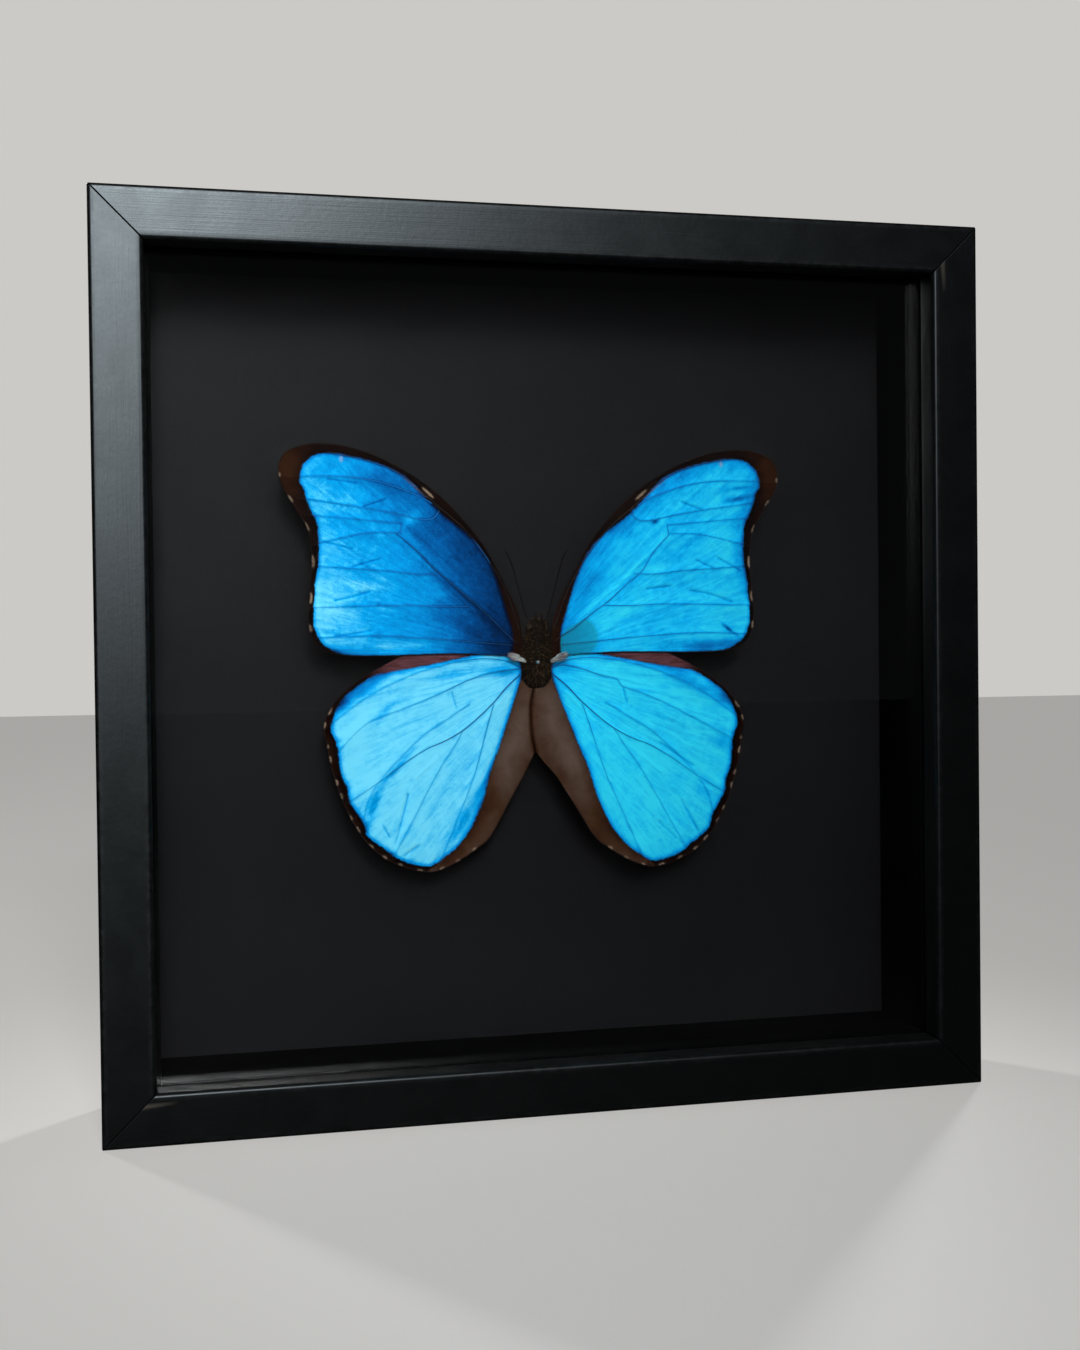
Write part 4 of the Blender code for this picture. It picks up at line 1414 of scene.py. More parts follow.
HIND_SPOTS = {
    Side.LEFT: (Spot((50, -6.4), (8.5, 1.7), -33, -0.42), Spot((56.6, -11.2), (2.6, 1.6), -45, -0.34),
                Spot((21.8, -44.5), (9.5, 2.1), -54, -0.24), Spot((48.2, -40), (5.5, 1.4), -70, -0.30),
                Spot((41.2, -29.2), (7.5, 0.9), -48, -0.22), Spot((44.8, -13.4), (5, 1.2), -42, -0.16),
                Spot((11, -2.6), (4.5, 1.6), 0, -0.26), Spot((24, -3), (8, 1.7), -12, -0.20),
                Spot((16.2, -35), (6, 0.9), -58, -0.25), Spot((27, -35), (9, 1.2), -56, -0.10),
                Spot((53, -18.5), (6, 2.4), -60, 0.08), Spot((50, -33), (3, 8), -20, 0.07)),
    Side.RIGHT: (Spot((46, -6.2), (10, 1.9), -26, -0.26), Spot((57, -12), (3, 1.6), -45, -0.30),
                 Spot((56, -24), (2.6, 9), 10, -0.10), Spot((8.5, -8), (2, 5), 25, -0.10),
                 Spot((50, -38), (6, 3), -70, -0.09), Spot((34, -40), (9, 2.4), -58, 0.07),
                 Spot((28, -24), (9, 1.4), -28, 0.10), Spot((9, -1.6), (3, 1.6), 0, -0.16)),
}


@dataclass
class WingBuilder:
    """Builds one wing: its membrane, its veins and the fringe of scales along its margin."""

    kind: Wing
    side: Side
    plan: WingPlan
    finish: Material
    vein_finish: Material
    fringe_finish: Material
    spacing: float = 0.34
    sheet: float = 0.12
    dihedral: float = math.radians(2.5)
    splay: float = 0.0012 / 0.060
    stretch: float = 0.01
    seam_gap: float = 0.15
    # Strength of the painted shade patch at the right forewing's root.
    stain: float = 0.62
    pitch: float = 0.085

    def __post_init__(self) -> None:
        """Find the wing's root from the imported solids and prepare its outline."""
        body_low, body_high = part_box("butterfly_body")
        self.fore, self.right = self.kind is Wing.FORE, self.side is Side.RIGHT
        self.root_x = (body_low.x + body_high.x) / 2
        self.root_z = body_low.z + ROOT_HEIGHT
        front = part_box(f"{self.kind.value}_{self.side.label}")[1].y
        self.root_y = front - 0.2 * MM + 4.4 * MM * math.sin(self.dihedral)
        self.margin = resample(self.curve(self.plan.outline, 10), self.spacing)
        closing = self.margin[[-1, 0]]
        if not self.fore:
            seam = smooth_curve(HIND_SEAM, 8) * (self.side.value, 1.0) + (self.seam_gap, 0.0)
            closing = np.vstack([self.margin[-1:], seam, np.array(HIND_ROOT), self.margin[:1]])
        self.outline = np.vstack([self.margin, resample(closing, self.spacing)[1:-1]])
        self.notch_margin()
        self.lines = [resample(self.curve(vein.path, 8), 0.5) for vein in self.plan.veins]
        self.guides = [resample(line, 1.5) for line in self.lines]
        self.creases = [self.curve(path, 4) for path in self.plan.creases]
        self.ridges = [self.curve(path, 4) for path in self.plan.ridges]
        self.blue = self.sheared(smooth_curve(self.plan.blue_edge, 4, closed=True))

    def curve(self, path: Path, steps: int) -> Array:
        """Return a smooth line through a drawn path, as it lies on this wing."""
        return self.sheared(smooth_curve(path, steps))

    def dress(self, piece: Object, finish: Material, *nodes: str) -> None:
        """Finish one piece of the wing."""
        finish_piece(piece, finish, f"{self.kind.value}_scales", *nodes)

    def label(self, part: str) -> str:
        """Return the name of one piece of this wing."""
        return f"{self.kind.value}_{part}_{self.side.label}"

    def sheared(self, points: Array) -> Array:
        """Return hindwing points swung and stretched as that wing was set; forewing points stay."""
        points = np.array(points, float)
        if not self.fore:
            points[:, 0] -= self.side.value * self.splay * np.minimum(points[:, 1], 0)
            longer = 1 + self.side.value * self.stretch
            points[:, 1] = np.where(points[:, 1] < 0, points[:, 1] * longer, points[:, 1])
        return points

    def notch_margin(self) -> None:
        """Cut the shallow scallops of the margin, deepest at the pale tufts."""
        count = len(self.margin)
        ahead = np.roll(self.outline, -1, axis=0) - np.roll(self.outline, 1, axis=0)
        inward = np.column_stack([ahead[:, 1], -ahead[:, 0]]) / np.linalg.norm(ahead, axis=1)[:, None]
        depth = np.zeros(len(self.outline))
        for speck in self.plan.specks:
            at = self.sheared(np.array([speck.at]))[0]
            away = np.linalg.norm(self.outline - at, axis=1)
            depth[:count] += 0.34 * bell(away[:count], 0.55 * speck.length + 0.5)
        run = np.arange(count) * self.spacing
        depth[:count] += 0.05 * ripple(run * MM, 0 * run, 71 + self.side.value, 2.4 * MM)
        fade = np.minimum(ease(0, 6, np.arange(len(depth))), 1)
        self.outline = self.outline + inward * (depth * fade)[:, None]
        self.margin = self.outline[:count]

    def relief(self, points: Array) -> Array:
        """Return how far the wing's face stands towards the glass, in millimetres.

        Args:
            points: Array of (u, v) in millimetres.

        Returns:
            The relief at each point.
        """
        u, v = points[:, 0], points[:, 1]
        gap, reach = nearest_line(points, self.guides), np.hypot(u, v)
        rise = 0.10 * bell(gap, 0.55) - 0.16 * ease(0.0, 4.5, gap)
        for crease in self.creases:
            away, side, _ = line_distance(points, crease)
            rise -= 0.16 * bell(away, 0.45) - 0.07 * bell(away - 0.8 * side, 0.6)
        for ridge in self.ridges:
            rise += 0.14 * bell(line_distance(points, ridge)[0], 0.5)
        rim = vertex_distance(points, self.outline)
        rise -= 0.35 * (1 - ease(0.0, 6.0, rim)) * ease(15, 40, reach)
        rise += 0.9 * np.sin(np.clip(reach / 75, 0, 1) * math.pi)
        seed = 20 + self.side.value + (0 if self.fore else 5)
        broad, fine = ripple(u * MM, v * MM, seed, 11 * MM), ripple(u * MM, v * MM, seed + 50, 2.6 * MM)
        rise += 0.06 * broad + 0.016 * fine
        if not self.fore:
            depth, share = self.fold_depth(points)
            width = 3.6 + 2.0 * np.sin(np.clip(share, 0, 1) * math.pi)
            arch = np.sin(np.clip(depth / (2 * width), 0, 1) * math.pi)
            rise += np.where(depth > 0, (1.5 if self.right else 0.9) * arch * ease(0, 0.12, 1 - share), 0)
            over = ease(2.0, -1.5, u) if self.right else 1 - ease(-1.0, 3.0, u)
            rise += np.where(v < -6, (0.55 if self.right else -0.35) * over, 0)
        return rise

    def fold_depth(self, points: Array) -> tuple[Array, Array]:
        """Return how far inside the brown fold points lie, and how far up it."""
        away, side, share = line_distance(points, self.curve(HIND_INNER_EDGE, 4))
        return away * side, share

    def place(self, points: Array, forward: Array) -> Array:
        """Carry wing points to their place in the case.

        Args:
            points: Array of (u, v) in millimetres.
            forward: How far each stands towards the glass, in millimetres.

        Returns:
            Places in metres.
        """
        u, v = points[:, 0] * MM, points[:, 1] * MM
        x = self.root_x + self.side.value * u * math.cos(self.dihedral)
        y = self.root_y - u * math.sin(self.dihedral) - forward * MM
        return np.column_stack([x, y, self.root_z + v])

    def membrane_points(self) -> tuple[Array, list]:
        """Fill the outline with an even net of triangles.

        Returns:
            The points and the triangles; the outline's points come first.
        """
        low, high = self.outline.min(0), self.outline.max(0)
        row = self.spacing * math.sqrt(0.75)
        ys = np.arange(low[1], high[1], row)
        xs = np.arange(low[0], high[0], self.spacing)
        net = np.array([(x + (j % 2) * self.spacing / 2, y) for j, y in enumerate(ys) for x in xs])
        net = net[inside_outline(net, self.outline)]
        net = net[vertex_distance(net, self.outline) > 0.60 * self.spacing]
        points = np.vstack([self.outline, net])
        loop = list(range(len(self.outline)))
        edges = [(i, (i + 1) % len(loop)) for i in loop]
        result = delaunay_2d_cdt([Vector(p) for p in points], edges, [], 1, 1e-5)
        if len(result[0]) != len(points):
            points = np.array([tuple(p) for p in result[0]])
        return points, [tuple(face) for face in result[2]]

    def paint(self, obj: Object, points: Array, under: Array) -> None:
        """Store the values that the wing's finish reads.

        Args:
            obj: The wing.
            points: (u, v) of every vertex, in millimetres.
            under: 1 for vertices of the underside.
        """
        u, v = points[:, 0], points[:, 1]
        loop = np.vstack([self.blue, self.blue[:1]])
        rim = line_distance(points, loop)[0] * np.where(inside_outline(points, self.blue), 1, -1)
        shade = self.base_shade(u, v, rim)
        # Listed patches of deeper and paler tone: partly the wing's own pattern, partly painted shade and
        # painted light where the wing is creased and curved.
        for spot in self.plan.spots:
            along, across = in_patch(u, v, spot.at, spot.size, spot.turn)
            shade = shade + spot.tone * np.exp(-(along**2) - across**2)
        shade = shade - 0.15 * bell(nearest_line(points, self.guides), 0.35)
        # Painted shade along the creases and painted highlights along the ridges, laid over their relief.
        shade = shade - 0.20 * bell(nearest_line(points, self.creases), 0.28)
        shade = shade + 0.12 * bell(nearest_line(points, self.ridges), 0.35)
        shade = shade - 0.25 * (1 - ease(0.0, 1.1, rim))
        # Painted shade: a darker teal patch with a crisp edge at the root of the right forewing.
        near = np.hypot((u - 11.6) / 6.8, (v - 7.0) / 6.4) + 0.4 * ease(-0.4, 0.4, v - 7.7 - 0.73 * (u - 7.6))
        stain = (1 - ease(0.86, 1.04, near)) * (self.stain if self.fore and self.right else 0.0)
        strip, fold, fold_tone = self.brown_zones(points, rim)
        store(obj, shade=shade, rim=rim, under=under, warm=self.warmth(u, v, rim), pale=self.paleness(points),
              stain=stain, strip=strip, fold=fold, fold_tone=fold_tone)
        store_lie(obj, np.column_stack([np.hypot(u, v) * MM, np.arctan2(v, u + 6) * 42 * MM]))

    def base_shade(self, u: Array, v: Array, rim: Array) -> Array:
        """Return the wing's general tone, from deep blue near 0 to pale blue near 1, with painted light in
        it: the tone differs between the left and right wings and darkens towards the roots, as the structural
        blue looks under one lamp from one side.
        """
        if self.fore and not self.right:
            reach = u - 0.42 * np.maximum(v - 20, 0)
            tones = (0.11, 0.17, 0.32, 0.51, 0.63, 0.68, 0.75, 0.84)
            return np.interp(reach, (6, 12, 20, 28, 36, 44, 52, 62), tones)
        if self.fore:
            near_root = 0.30 * (1 - ease(8, 22, np.hypot(u, v)))
            by_edge = 0.22 * (1 - ease(0.0, 6.0, rim)) * ease(12, 26, v)
            return 0.83 + 0.06 * ease(42, 58, u) - near_root - by_edge
        level = 0.938 if self.right else 0.950
        return level - 0.16 * (1 - ease(0.0, 2.2, rim)) - 0.10 * (1 - ease(4, 16, np.hypot(u, v)))

    def warmth(self, u: Array, v: Array, rim: Array) -> Array:
        """Return how brown the dark border is, from black at 0."""
        if self.fore:
            apex = np.exp(-(((u - 71) / 6) ** 2) - ((v - 55) / 8) ** 2)
            base = ease(34, 8, v) * ease(24, 8, u)
            return 0.18 + 0.62 * apex + 0.42 * base + 0.20 * ease(-0.6, -3.0, rim)
        return 0.22 + 0.30 * ease(-0.3, -1.6, rim)

    def paleness(self, points: Array) -> Array:
        """Return the pale tufts of the fringe and, on the forewing, the patches by the costa."""
        best = np.zeros(len(points))
        for number, speck in enumerate(self.plan.specks):
            at = self.sheared(np.array([speck.at]))[0]
            near = int(np.argmin(np.linalg.norm(self.margin - at, axis=1)))
            near = min(max(near, 1), len(self.margin) - 2)
            way = self.margin[near + 1] - self.margin[near - 1]
            way = way / np.linalg.norm(way)
            away = points - self.margin[near]
            along = np.abs(away @ way) / (speck.length / 2)
            across = np.abs(away @ np.array([-way[1], way[0]])) / (0.46 + 0.10 * math.sin(5.1 * number))
            level = 0.72 + 0.24 * math.sin(2.3 * number + self.side.value)
            best = np.maximum(best, level * (1 - ease(0.45, 1.1, np.hypot(along, across))))
        for patch in COSTA_PATCHES if self.fore else ():
            along, across = in_patch(points[:, 0], points[:, 1], patch.at, patch.size, patch.turn)
            best = np.maximum(best, patch.tone * (1 - ease(0.6, 1.1, np.hypot(along, across))))
        return best

    def brown_zones(self, points: Array, rim: Array) -> tuple[Array, Array, Array]:
        """Return the dusky upper strip, the brown fold and the fold's tone with its painted highlight and
        painted shade.
        """
        if self.fore:
            return (np.zeros(len(points)),) * 3
        u, v = points[:, 0], points[:, 1]
        strip = (1 - ease(-0.35, 0.25, rim)) * ease(17, 23, u) * (1 - ease(42, 50, u)) * ease(-8, -5, v)
        depth, share = self.fold_depth(points)
        fold = ease(-0.10, 0.35, depth) * (1 - ease(-0.4, 0.2, rim)) * ease(-2.0, -5.0, v)
        seam = self.sheared(np.array(HIND_SEAM)) * np.array([self.side.value, 1.0])
        seam_gap = line_distance(points, smooth_curve(seam, 6))[0]
        # Painted highlight along the fold's bulging middle, darker towards both its ends, and painted shade
        # along the seam where the two folds meet.
        tone = 0.50 + 0.34 * bell(depth - 4.6, 3.6) - 0.36 * (1 - ease(0.22, 0.62, share))
        tone = tone - 0.10 * ease(0.80, 1.0, share) - 0.34 * (1 - ease(0.0, 0.8, seam_gap))
        return strip, fold, tone

    def build_membrane(self) -> None:
        """Build the membrane, closed by its underside and rim."""
        points, triangles = self.membrane_points()
        rise = self.relief(points)
        count, loop = len(points), len(self.outline)
        verts = np.vstack([self.place(points, rise), self.place(points, rise - self.sheet)])
        faces = list(triangles) + [tuple(i + count for i in reversed(face)) for face in triangles]
        faces += [(i, (i + 1) % loop, (i + 1) % loop + count, i + count) for i in range(loop)]
        obj = face_outwards(make_object(self.label("membrane"), verts, faces))
        under = np.concatenate([np.zeros(count), np.ones(count)])
        self.paint(obj, np.vstack([points, points]), under)
        self.dress(obj, self.finish, f"{self.kind.value}_{self.side.label}")

    @staticmethod
    def vein_tree() -> Tree:
        """Return a tree that turns lines with a stored "thick" into tapered tubes."""
        made = GeometryTree("wing_veins", {"Sides": 7})
        w = made.wiring
        thick = made.named("thick")
        curve = w.add("GeometryNodeMeshToCurve", {"Mesh": made.value("Geometry")})
        sized = w.add("GeometryNodeSetCurveRadius", {"Curve": curve.outputs[0], "Radius": thick})
        ring = w.add("GeometryNodeCurvePrimitiveCircle", {"Resolution": made.value("Sides"), "Radius": 1.0})
        shape = {"Curve": sized.outputs[0], "Profile Curve": ring.outputs[0], "Fill Caps": True}
        tube = w.add("GeometryNodeCurveToMesh", shape)
        if "Scale" in tube.inputs:
            w.fill(tube, {"Scale": thick})
        smooth = w.add("GeometryNodeSetShadeSmooth", {"Geometry": tube.outputs[0]})
        return made.close(smooth.outputs[0])

    def build_veins(self, tree: Tree) -> None:
        """Build the raised veins as tubes that lie half sunk in the membrane.

        Args:
            tree: The vein tree.
        """
        verts, edges, thick, pick = [], [], [], []
        offset = 0
        for vein, line in zip(self.plan.veins, self.lines):
            line = line[inside_outline(line, self.outline)]
            if len(line) < 2:
                continue
            share = np.linspace(0, 1, len(line))
            radius = (vein.start + (vein.end - vein.start) * share) * MM
            verts.append(self.place(line, self.relief(line) - 0.30 * radius / MM))
            thick.append(radius)
            far = ease(0, 1, np.hypot(line[:, 0], line[:, 1]) / 45) * (0.1 if vein.start > 0.19 else 1.0)
            pick.append(np.where(inside_outline(line, self.blue), far, -1.0))
            edges += [(offset + i, offset + i + 1) for i in range(len(line) - 1)]
            offset += len(line)
        seed = make_object("vein_lines", np.vstack(verts), [], edges=edges)
        store(seed, thick=np.concatenate(thick), pick=np.concatenate(pick))
        self.dress(face_outwards(grow(seed, tree, self.vein_finish, self.label("veins"))), self.vein_finish)

    @staticmethod
    def fringe_tree() -> Tree:
        """Return a tree that sets narrow leaf-shaped scales along the margin."""
        made = GeometryTree("margin_fringe", {"Length": 0.55 * MM, "Width": 0.10 * MM, "Seed": 4})
        w = made.wiring
        seed = made.value("Seed")
        facing = w.plus(made.named("turn"), w.chance(-0.30, 0.30, seed))
        lift = w.chance(-0.35, 0.20, w.plus(seed, 7))
        length = w.times(made.value("Length"), w.chance(0.55, 1.25, w.plus(seed, 3)))
        return made.strands(4, 0.15, w.vector(w.math("COSINE", facing), lift, w.math("SINE", facing)), length)

    def build_fringe(self, tree: Tree) -> None:
        """Build the fringe of scales that edges the membrane.

        Args:
            tree: The fringe tree.
        """
        start = 2 if self.fore else 1
        fine = resample(self.margin, self.pitch)[int(start / self.pitch):-10]
        way = np.gradient(fine, axis=0)
        out = np.column_stack([-way[:, 1], way[:, 0]])
        out /= np.linalg.norm(out, axis=1)[:, None]
        rng = np.random.default_rng(31 + self.side.value)
        base = fine - out * rng.uniform(0.05, 0.30, len(fine))[:, None]
        rise = self.relief(base) - self.sheet * rng.uniform(0.0, 0.9, len(base))
        pick = rng.uniform(0.0, 0.28, len(fine)) + 1.3 * self.paleness(fine)
        seed = make_object("fringe_seeds", self.place(base, rise), [])
        store(seed, turn=np.arctan2(out[:, 1], self.side.value * out[:, 0]), pick=np.clip(pick, 0, 1))
        piece = grow(seed, tree, self.fringe_finish, self.label("fringe"), Length=0.50 * MM, Width=0.055 * MM)
        self.dress(piece, self.fringe_finish)


def wing_plans(side: Side) -> tuple[WingPlan, WingPlan]:
    """Return the plans of one side's forewing and hindwing."""
    fore = WingPlan(FORE_OUTLINE, FORE_BLUE_EDGE, FORE_VEINS + (FORE_STEM[side],), FORE_CREASES[side],
                    (FORE_RIDGE[side],), FORE_SPECKS, FORE_SPOTS[side])
    hind = WingPlan(HIND_OUTLINE, HIND_UPPER_EDGE + HIND_OUTER_EDGE + HIND_INNER_EDGE,
                    HIND_VEINS + (HIND_UPPER_VEIN[side],), HIND_CREASES[side], HIND_RIDGES, HIND_SPECKS,
                    HIND_SPOTS[side])
    return fore, hind


# ---- Body, antennae and pin ----


@dataclass
class HairCoat:
    """Tapered hairs grown by one Geometry Nodes tree over seed points with a direction."""

    finish: Material

    def __post_init__(self) -> None:
        """Build the tree once."""
        made = GeometryTree("hair_coat", {"Length": 1.2 * MM, "Width": 0.05 * MM, "Spread": 0.35, "Seed": 9})
        w = made.wiring
        spread, seed = made.value("Spread"), made.value("Seed")
        low = w.times(spread, -1.0)
        mess = w.add("FunctionNodeRandomValue", data_type="FLOAT_VECTOR")
        w.fill(mess, {0: w.vector(low, low, low), 1: w.vector(spread, spread, spread), "Seed": seed})
        way = w.add("ShaderNodeVectorMath", {0: made.named("way", "FLOAT_VECTOR"), 1: mess.outputs[0]},
                    operation="ADD")
        long = w.chance(0.55, 1.3, w.plus(seed, 2))
        length = w.times(made.value("Length"), w.times(long, made.named("long")))
        self.tree = made.strands(3, 0.12, way.outputs[0], length)

    def grow_on(self, name: str, slot: str, roots: Array, ways: Array, longs: Array,
                picks: Array, finish: Material | None = None, **sizes: float) -> None:
        """Grow one coat of hair.

        Args:
            name: Name of the piece.
            slot: Material slot of the record.
            roots: Where the hairs start.
            ways: The direction of each hair.
            longs: Length of each hair as a share of the tree's length.
            picks: Tone of each hair, from 0 to 1.
            finish: Finish other than the coat's own.
            sizes: Values for the tree's inputs.
        """
        seed = make_object("hair_seeds", roots, [])
        layer = seed.data.attributes.new("way", "FLOAT_VECTOR", "POINT")
        layer.data.foreach_set("vector", np.asarray(ways, np.float32).ravel())
        store(seed, long=longs, pick=picks)
        finish = finish or self.finish
        finish_piece(grow(seed, self.tree, finish, name, **sizes), finish, slot)


@dataclass
class ButterflyBody:
    """Head, thorax and abdomen with their fur, eyes, palps, wing tufts and antennae."""

    fur: Material
    horn: Material
    eye: Material
    tuft: Material
    coat: HairCoat
    segments: int = 44
    hairs: int = 9000
    tuft_hairs: int = 560
    sections: tuple[tuple[float, float, float, float], ...] = (
        (-24.8, 0.4, 0.4, 7.9), (-24.0, 1.1, 1.0, 7.9), (-21.5, 1.7, 1.6, 7.9), (-17.0, 2.1, 1.9, 7.9),
        (-12.0, 2.2, 2.0, 7.9), (-8.5, 2.1, 1.8, 7.8), (-6.6, 1.5, 1.8, 7.4), (-5.4, 2.0, 2.5, 6.4),
        (-3.5, 3.0, 3.4, 5.3), (0.0, 3.8, 4.1, 4.8), (4.0, 3.7, 4.1, 4.7), (6.8, 2.9, 3.3, 4.5),
        (8.0, 2.5, 2.6, 4.3), (9.0, 2.7, 2.4, 4.0), (10.5, 2.6, 2.4, 3.8), (11.8, 1.8, 1.6, 3.7),
        (12.2, 0.8, 0.7, 3.7),
    )
    antenna_path: Path = ((2.7, 12.2), (3.9, 15.5), (4.9, 19.5), (6, 23.5), (6.9, 27), (7.9, 30), (9.4, 32.2))

    palp_path: tuple[Colour, ...] = ((0.55, 10.6, 2.3), (0.85, 11.8, 1.7), (0.95, 13, 1.5), (0.75, 13.9, 1.6))

    def __post_init__(self) -> None:
        """Take the body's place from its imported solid."""
        low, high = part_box("butterfly_body")
        self.x = (low.x + high.x) / 2
        self.z = low.z + ROOT_HEIGHT
        self.front = low.y - 0.6 * MM
        self.antenna_y = sum(corner.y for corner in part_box("antenna_left")) / 2

    def skin(self) -> list[Array]:
        """Return the body's rings, with the abdomen's segments pinched and the chest uneven."""
        rows = smooth_curve(self.sections, 6)
        turn = circle(self.segments)
        rings = []
        for height, wide, deep, depth in rows:
            ring_pinch = 1 - 0.05 * (abs(math.sin(height * math.pi / 2.6)) < 0.25) * (height < -6)
            lump = 1 + 0.035 * ripple(turn * 2 * MM, np.full(len(turn), height * MM), 5, 3 * MM)
            x = self.x + wide * MM * ring_pinch * lump * np.cos(turn)
            y = self.front + (depth + deep * ring_pinch * lump * np.sin(turn)) * MM
            rings.append(np.column_stack([x, y, np.full(len(turn), self.z + height * MM)]))
        return rings

    def build_trunk(self) -> Object:
        """Build the skin of the body.

        Returns:
            The body, for the fur to grow on.
        """
        obj = skin_over("body_trunk", self.skin())
        store(obj, pick=np.full(len(obj.data.vertices), 0.25))
        return finish_piece(obj, self.fur, "body_fur", "butterfly_body")

    def build_fur(self, trunk: Object) -> None:
        """Grow fur over the head, chest and abdomen, combed down and outwards.

        Args:
            trunk: The finished skin.
        """
        rng = np.random.default_rng(12)
        polygons = [p for p in trunk.data.polygons if len(p.vertices) == 4]
        centres, normals, areas = (np.array([getattr(p, part) for p in polygons])
                                   for part in ("center", "normal", "area"))
        height = (centres[:, 2] - self.z) / MM
        weight = areas * np.where(height > -6.5, 1.0, 0.30)
        picks = rng.choice(len(polygons), self.hairs, p=weight / weight.sum())
        jitter = rng.normal(0, 0.18 * MM, (self.hairs, 3))
        roots = centres[picks] + jitter - normals[picks] * 0.10 * MM
        away = np.column_stack([roots[:, 0] - self.x, np.zeros(self.hairs), roots[:, 2] - self.z - 3 * MM])
        away /= np.maximum(np.linalg.norm(away, axis=1), 1e-6)[:, None]
        ways = normals[picks] * 0.75 + away * 0.35 + np.array([0, 0, -0.45])
        tall = height[picks]
        longs = np.where(tall > 8.5, 0.62, np.where(tall > -6.5, 1.0, 0.42))
        tones = np.clip(0.30 + 0.20 * rng.normal(0, 1, self.hairs), 0, 1)
        # About one hair in eleven is bright: golden hair, partly painted glints on the fur.
        tones = np.where(rng.uniform(0, 1, self.hairs) < 0.09, 1.2, tones)
        self.coat.grow_on("body_hairs", "body_fur", roots, ways, longs, tones, Length=1.45 * MM,
                          Width=0.055 * MM, Spread=0.62)

    def build_head(self) -> None:
        """Build the two eyes and the pair of palps in front of the head."""
        for side in Side:
            centre = np.array([self.x + side.value * 1.95 * MM, self.front + 3.5 * MM, self.z + 10.2 * MM])
            turn, rows = circle(28), 18
            rings = []
            for polar in (math.pi * step / rows for step in range(1, rows)):
                x, z = np.cos(turn) * math.sin(polar) * 0.95, np.sin(turn) * math.sin(polar) * 1.1
                up = np.full(len(turn), math.cos(polar) * 1.25)
                rings.append(centre + np.column_stack([x, z, up]) * MM)
            eye = skin_over(f"eye_{side.label}", rings)
            store(eye, pick=np.full(len(eye.data.vertices), 0.3))
            finish_piece(eye, self.eye, "body_fur")
            self.tube(f"palp_{side.label}", side, smooth_curve(self.palp_path, 6), (0.34, 0.46, 0.36, 0.10),
                      self.fur, "body_fur")

    def tube(self, name: str, side: Side, path: Array, radii: tuple[float, ...],
             finish: Material, slot: str, ringed: float = 0.0, node: str = "") -> None:
        """Build a tapered stalk along a path.

        Args:
            name: Name of the piece.
            side: Which side of the body.
            path: Points as (outwards, upwards, depth from the body's front), in millimetres.
            radii: Radii spread evenly along the path, in millimetres.
            finish: Its material.
            slot: Material slot of the record.
            ringed: Depth of its segment grooves as a share of its radius.
            node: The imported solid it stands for, if any.
        """
        points = np.column_stack([self.x + side.value * path[:, 0] * MM, self.front + path[:, 2] * MM,
                                  self.z + path[:, 1] * MM])
        share = np.linspace(0, 1, len(points))
        radius = np.interp(share, np.linspace(0, 1, len(radii)), radii) * MM
        if ringed:
            radius = radius * (1 - ringed * (np.arange(len(points)) % 4 == 0))
        ahead = np.gradient(points, axis=0)
        ahead /= np.linalg.norm(ahead, axis=1)[:, None]
        across = np.cross(ahead, np.array([0.0, 1.0, 0.0]))
        across /= np.linalg.norm(across, axis=1)[:, None]
        deep = np.cross(ahead, across)
        turn = circle(10)
        rings = [p + r * (np.cos(turn)[:, None] * a + np.sin(turn)[:, None] * d)
                 for p, r, a, d in zip(points, radius, across, deep)]
        obj = skin_over(name, rings)
        store(obj, pick=np.repeat(0.2 + 0.3 * share, len(turn)))
        finish_piece(obj, finish, slot, *([node] if node else []))

    def build_antennae(self) -> None:
        """Build the two ringed antennae, which thicken into slim clubs."""
        depth = (self.antenna_y - self.front) / MM
        for side in Side:
            flat = resample(smooth_curve(self.antenna_path, 10), 0.12)
            path = np.column_stack([flat, np.full(len(flat), depth)])
            radii = (0.17, 0.15, 0.14, 0.14, 0.14, 0.15, 0.17, 0.26, 0.36, 0.33, 0.12)
            self.tube(f"antenna_stalk_{side.label}", side, path, radii, self.horn, "antenna_horn", 0.22,
                      f"antenna_{side.label}")

    def build_tufts(self) -> None:
        """Grow the pale tufts of long hair at the roots of the wings."""
        rng = np.random.default_rng(21)
        count = self.tuft_hairs
        for side in Side:
            along = rng.uniform(0, 1, count)
            u = 3.6 + 3.4 * along
            v = 0.2 + 1.3 * along + rng.normal(0, 0.20 + 0.22 * along, count)
            roots = np.column_stack([self.x + side.value * u * MM, np.full(count, self.front + 2.6 * MM)
                                     + rng.uniform(-0.3, 0.4, count) * MM, self.z + v * MM])
            ways = np.column_stack([np.full(count, side.value * 1.0), np.full(count, -0.12),
                                    np.full(count, 0.32)]) + rng.normal(0, 0.12, (count, 3))
            tones = np.clip(0.75 - 0.45 * along + rng.normal(0, 0.42, count), -0.5, 1.3)
            self.coat.grow_on(f"wing_tuft_{side.label}", "body_fur", roots, ways, np.ones(count), tones,
                              finish=self.tuft, Length=2.1 * MM, Width=0.075 * MM, Spread=0.16)

    def build(self) -> None:
        """Build the whole body."""
        self.build_fur(self.build_trunk())
        self.build_head()
        self.build_antennae()
        self.build_tufts()


